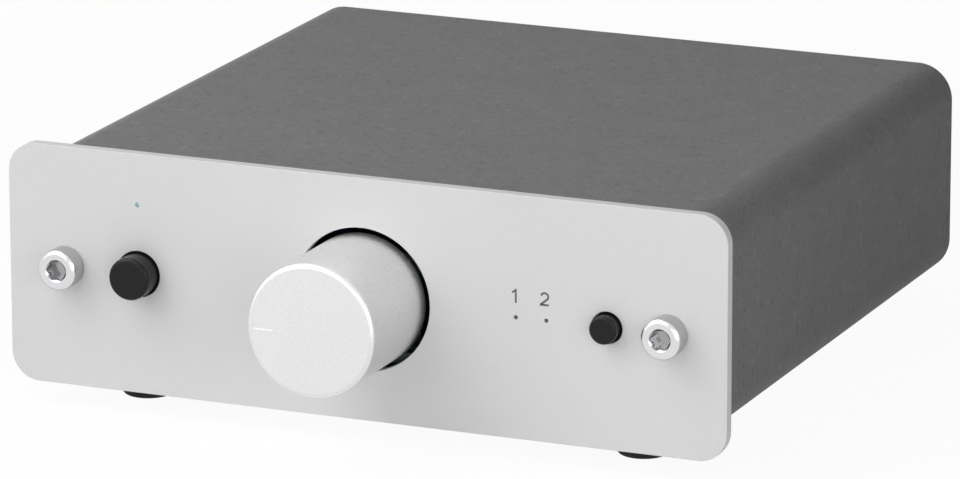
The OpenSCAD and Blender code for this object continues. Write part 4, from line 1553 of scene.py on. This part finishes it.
@dataclass(frozen=True)
class GroundTerminal:
    """The ground post with its locknut, captive washer and thumb nut."""

    post: float = 2.0  # radius of the post
    post_tip: float = 0.3  # bevel of its tip
    flats: float = 7.0  # width across the flats of the post's head and the locknut
    head: float = 2.8  # thickness of the post's head
    thread: float = 2.05  # radius of the nuts' threads
    locknut_edge: float = 0.2
    washer_hole: float = 2.25  # radius of the washer's hole
    washer_edge: float = 0.12
    washer_hole_edge: float = 0.08
    flutes: int = 24  # flutes round the thumb nut
    flute_depth: float = 0.24
    thumb_edge: float = 0.35
    thumb_hole_edge: float = 0.25

    def build(self) -> None:
        """Makes the four pieces."""
        post, nut = Extent.of("ground_post"), Extent.of("ground_locknut")
        washer, thumb = Extent.of("ground_washer"), Extent.of("ground_thumb_nut")
        x, z = post.middle
        thread = Circle(x, z, self.thread, steps=48)
        under, tip = post.low.y + self.head, post.high.y
        stud = [(0.0, under), (0.0, tip - self.post_tip), (-self.post_tip, tip)]
        solid = Solid()
        solid.body(self._hexagon(x, z, post.low.y, under))
        solid.body((Circle(x, z, self.post, steps=48), stud))
        solid.finish("post_ground", STEEL, "ground_post")
        solid = Solid()
        inner = rounded_levels(*nut.depth, self.locknut_edge, inside=True)
        solid.body(self._hexagon(x, z, *nut.depth), (thread, inner))
        solid.finish("locknut_ground", STEEL, "ground_locknut")
        solid = Solid()
        hole = (Circle(x, z, self.washer_hole, steps=48), self.washer_hole_edge)
        solid.plate(Circle(x, z, washer.size.x / 2), [hole], washer.depth, self.washer_edge)
        solid.finish("washer_ground", STEEL, "ground_washer", "clamp_washer")
        solid = Solid()
        outer = Fluted(x, z, thumb.size.x / 2, self.flutes, self.flute_depth)
        solid.plate(outer, [(thread, self.thumb_hole_edge)], thumb.depth, self.thumb_edge)
        solid.finish("thumb_nut_ground", GOLD_NUT, "ground_thumb_nut", "clamp_nut")

    def _hexagon(self, x: float, z: float, y0: float, y1: float) -> tuple[Outline, Levels]:
        """Returns the wall of a hexagon whose corners are chamfered.

        Args:
            x: its axis's x.
            z: its axis's z.
            y0: its front.
            y1: its back.

        Returns:
            Its outline and its levels.
        """
        outline = Hexagon(x, z, self.flats, HexMeets.INSIDE)
        flat, corner = self.flats / 2, outline.corner
        drop = (corner - flat) * math.tan(math.radians(30))
        return outline, [(flat, y0), (corner, y0 + drop), (corner, y1 - drop), (flat, y1)]


@dataclass(frozen=True)
class UsbOpening(Outline):
    """The square opening of a USB socket with its two bevelled upper corners."""

    width: float = 8.45
    height: float = 7.78
    corner: float = 2.0  # size of the bevels

    def points(self, grow: float) -> list[Point]:
        """Works out the outline's points.

        Args:
            grow: how far they are moved outwards.

        Returns:
            The points in order, as pairs of x and z.
        """
        half, tall = self.width / 2 + grow, self.height / 2 + grow
        cut = self.corner + grow * (2 - math.sqrt(2))
        side = [(half, -tall), (half, tall - cut), (half - cut, tall)]
        return [(self.x + x, self.z + z) for x, z in side + [(-x, z) for x, z in reversed(side)]]


@dataclass(frozen=True)
class UsbSocket:
    """The metal shell of the USB socket."""

    sheet: float = 0.4  # thickness of its sheet
    corner: float = 0.5  # radius of its folded edges
    bend: float = 0.3  # radius of its edge round the mouth
    flare: Point = (0.06, 0.1)  # how far the opening widens, and over what depth

    def build(self) -> None:
        """Makes the shell."""
        shell = Extent.of("usb_shell")
        back, front = shell.depth
        width, height = shell.size.x, shell.size.z
        outer = RoundBox(*shell.middle, width, height, self.corner, steps=6)
        hollow = (width - 2 * self.sheet, height - 2 * self.sheet)
        inner = RoundBox(*shell.middle, *hollow, self.corner - self.sheet, steps=6)
        end = front - self.sheet
        bend = rim_levels(front, -1, self.bend, steps=4)[::-1]
        mouth = [(0.0, end), (0.0, front - self.flare[1]), (self.flare[0], front)]
        solid = Solid()
        outer_back, outer_front = solid.wall(outer, [(0.0, back), *bend])
        inner_back, inner_front = solid.wall(inner, [(0.0, back), (0.0, end)])
        mouth_back, mouth_front = solid.wall(UsbOpening(*shell.middle), mouth)
        solid.fill(outer_back, inner_back)
        solid.fill(inner_front, mouth_back)
        solid.fill(outer_front, mouth_front)
        solid.finish("shell_usb", SHEET_STEEL, "usb_shell")


@dataclass(frozen=True)
class SupplySocket:
    """The supply socket with its round nose, and its pin."""

    axis_up: float = 6.5  # height of its axis above its underside
    corner: float = 0.3  # radius of the corners of its block
    edge: float = 0.2  # radius of the edges of its block and its nose
    gap: float = 0.2  # gap between its block and the rear panel
    nose: float = 4.0  # radius of its nose
    bore: float = 2.85  # radius of its opening
    bore_bevel: float = 0.25
    deep: float = 9.5  # depth of its opening behind the rear panel's face
    pin_tip: float = 0.35  # radius of the round tip of its pin

    def height(self) -> float:
        """Returns the height of its axis."""
        return Extent.of("supply_socket").low.z + self.axis_up

    def build(self) -> None:
        """Makes the socket and its pin."""
        socket, panel = Extent.of("supply_socket"), Extent.of("rear_panel")
        (back, end), start = socket.depth, panel.low.y - self.gap
        x, z = socket.middle[0], self.height()
        block = RoundBox(*socket.middle, socket.size.x, socket.size.z, self.corner, steps=3)
        nose = [(0.0, start), *rim_levels(end, -1, self.edge)[::-1]]
        bevel, floor = self.bore_bevel, panel.high.y - self.deep
        solid = Solid()
        block_back, block_front = solid.wall(block, rounded_levels(back, start, self.edge))
        nose_back, nose_front = solid.wall(Circle(x, z, self.nose), nose)
        solid.fill(block_back)
        solid.fill(block_front, nose_back)
        bore = [(bevel, end), (0.0, end - bevel), (0.0, floor)]
        solid.extend(nose_front, Circle(x, z, self.bore), bore)
        solid.finish("socket_supply", BLACK_MOULDING, "supply_socket")
        pin = Extent.of("supply_pin")
        tip = rim_levels(pin.high.y, -1, self.pin_tip, steps=5)[::-1]
        solid = Solid()
        solid.body((Circle(x, z, pin.size.z / 2, steps=48), [(0.0, pin.low.y), *tip]))
        solid.finish("pin_supply", SHEET_STEEL, "supply_pin")


# ------------------------------------------------------------------ studio


@dataclass(frozen=True)
class Lamp:
    """A soft square lamp that points at the object."""

    name: str
    toward: tuple[float, float, float]  # direction from the object to the lamp
    distance: float  # its distance in metres
    width: float  # its width in metres
    level: float  # how bright a white surface that faces it becomes

    def build(self, target: Vector) -> None:
        """Places the lamp so that it points at the object.

        Args:
            target: the middle of the object in metres.
        """
        data = bpy.data.lights.new(self.name, "AREA")
        data.size = self.width
        data.energy = self.level * math.pi**2 * self.distance**2
        lamp = bpy.data.objects.new(self.name, data)
        way = Vector(self.toward).normalized()
        lamp.location = target + way * self.distance
        lamp.rotation_mode = "QUATERNION"
        lamp.rotation_quaternion = way.to_track_quat("Z", "Y")
        bpy.context.scene.collection.objects.link(lamp)


@dataclass(frozen=True)
class Camera:
    """The camera, in millimetres and degrees."""

    place: tuple[float, float, float] = (359.7, -846.65, 268.0)
    azimuth: float = 23.1  # its turn round the object, 0 looking along +Y
    elevation: float = 15.271  # its height above the horizon
    roll: float = -0.102  # its tilt to the side
    lens: float = 261.3  # focal length
    sensor: float = 36.0  # width of its sensor
    clip: Point = (0.05, 50.0)  # nearest and farthest distance that it sees, in metres

    def build(self) -> None:
        """Makes the camera the scene's own."""
        data = bpy.data.cameras.new("camera")
        data.lens = self.lens
        data.sensor_width = self.sensor
        data.sensor_fit = "HORIZONTAL"
        data.clip_start, data.clip_end = self.clip
        camera = bpy.data.objects.new("camera", data)
        turn, rise, roll = (math.radians(a) for a in (self.azimuth, self.elevation, self.roll))
        flat = Vector((math.sin(turn), -math.cos(turn), 0)) * math.cos(rise)
        back = flat + Vector((0, 0, math.sin(rise)))
        level = Vector((math.cos(turn), math.sin(turn), 0))
        upright = back.cross(level)
        right = level * math.cos(roll) + upright * math.sin(roll)
        up = upright * math.cos(roll) - level * math.sin(roll)
        turned = Matrix((right, up, back)).transposed().to_4x4()
        camera.matrix_world = Matrix.Translation(Vector(self.place) * MM) @ turned
        bpy.context.scene.collection.objects.link(camera)
        bpy.context.scene.camera = camera


@dataclass(frozen=True)
class Studio:
    """A white room: floor, even light from all round and four soft lamps."""

    dome: float = 0.1  # brightness of the even light
    floor_width: float = 6.0  # width of the floor in metres
    floor_gap: float = 0.02  # how far the floor lies below the feet
    paper: Colour = (0.9, 0.9, 0.9)
    paper_grain: float = 2.0  # size of the paper's grain
    paper_tone: float = 0.02  # how far it lightens or darkens the paper
    shadow_share: float = 0.05  # how much of the floor's shadows shows
    shadow_fade: Point = (120.0, 420.0)  # where the shadows start to fade and are gone
    lamps: tuple[Lamp, ...] = (
        Lamp("top", (-0.6, -0.4, 0.9), 0.5, 0.4, 0.44),
        Lamp("front", (-0.45, -0.76, 0.6), 0.45, 0.6, 0.66),
        Lamp("side", (1.0, -1.0, 0.05), 0.3, 0.25, 0.45),
        Lamp("rear", (-1.0, 0.7, 0.0), 0.5, 0.15, 0.45),
    )

    def build(self) -> None:
        """Makes the room, its light and the camera."""
        bpy.context.scene.view_settings.view_transform = "Standard"
        self._world()
        self._floor()
        target = (CAD_BOX[0] + CAD_BOX[1]) / 2
        for lamp in self.lamps:
            lamp.build(target)
        Camera().build()

    @staticmethod
    def _seen(shader: Shader) -> Value:
        """Tells what the camera sees from what only lights the object.

        Args:
            shader: the tree that needs to know.

        Returns:
            1 for what is seen directly, in a mirror or through glass, otherwise 0.
        """
        rays = shader.outputs(shader.node("ShaderNodeLightPath"))
        seen = rays["Is Camera Ray"].larger(rays["Is Glossy Ray"])
        return seen.larger(rays["Is Transmission Ray"])

    def _world(self) -> None:
        """Makes the world white to look at and much dimmer as a light."""
        world = bpy.data.worlds.new("room")
        bpy.context.scene.world = world
        shader = Shader(world)
        strength = self.dome + self._seen(shader) * (1 - self.dome)
        inputs = {"Color": WHITE, "Strength": strength}
        background = shader.node("ShaderNodeBackground", inputs)
        shader.node("ShaderNodeOutputWorld", {"Surface": background})

    def _floor(self) -> None:
        """Makes the white floor, which keeps a share of the object's shadow."""
        mesh = bpy.data.meshes.new("floor")
        bm = bmesh.new()
        bmesh.ops.create_grid(bm, x_segments=1, y_segments=1, size=self.floor_width / 2)
        bm.to_mesh(mesh)
        bm.free()
        floor = bpy.data.objects.new("floor", mesh)
        floor.location.z = -self.floor_gap * MM
        bpy.context.scene.collection.objects.link(floor)
        material = bpy.data.materials.new("floor_paper")
        shader = Shader(material)
        x, y, _ = shader.axes()
        far = ((x * x + y * y) ** 0.5).eased(*self.shadow_fade)
        grain = shader.noise(shader.place(), self.paper_grain)
        tone = 1 - self.paper_tone / 2 + grain * self.paper_tone
        white = shader.tint(self.paper, tone)
        lit = shader.node("ShaderNodeBsdfDiffuse", {"Color": white})
        glow = shader.node("ShaderNodeEmission", {"Color": WHITE, "Strength": 1.0})
        share = self._seen(shader) * ((1 - self.shadow_share) + far * self.shadow_share)
        mixed = shader.node("ShaderNodeMixShader", {"Fac": share, 1: lit, 2: glow})
        shader.node("ShaderNodeOutputMaterial", {"Surface": mixed})
        mesh.materials.append(material)


# ------------------------------------------------------------------ the whole object


def dress_inside() -> None:
    """Gives the carried-over CAD nodes their finishes."""
    for finish, nodes in INSIDE.items():
        for node in nodes:
            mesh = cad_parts[node].data
            mesh.materials.clear()
            mesh.materials.append(finish.material())
            log.info("%s: CAD node in %s", node, finish.name)


def main() -> None:
    """Builds the room and every piece of the object."""
    logging.basicConfig(level=logging.INFO, format="%(name)s: %(message)s")
    assemblies = (
        Studio(),
        Case(),
        PanelScrews(),
        GainKnob(),
        PushButton("power_button", "power_key", rim=0.45, stem=3.1),
        PushButton("selector_button", "selector_key", rim=0.35, stem=2.1),
        SwitchSpring("power_spring", "power_press", travel=2.2, turns=7),
        SwitchSpring("selector_spring", "selector_press", travel=1.0, turns=2),
        Indicators(),
        PhonoSockets(),
        GroundTerminal(),
        UsbSocket(),
        SupplySocket(),
    )
    for assembly in assemblies:
        assembly.build()
    dress_inside()


if __name__ == "__main__":
    main()
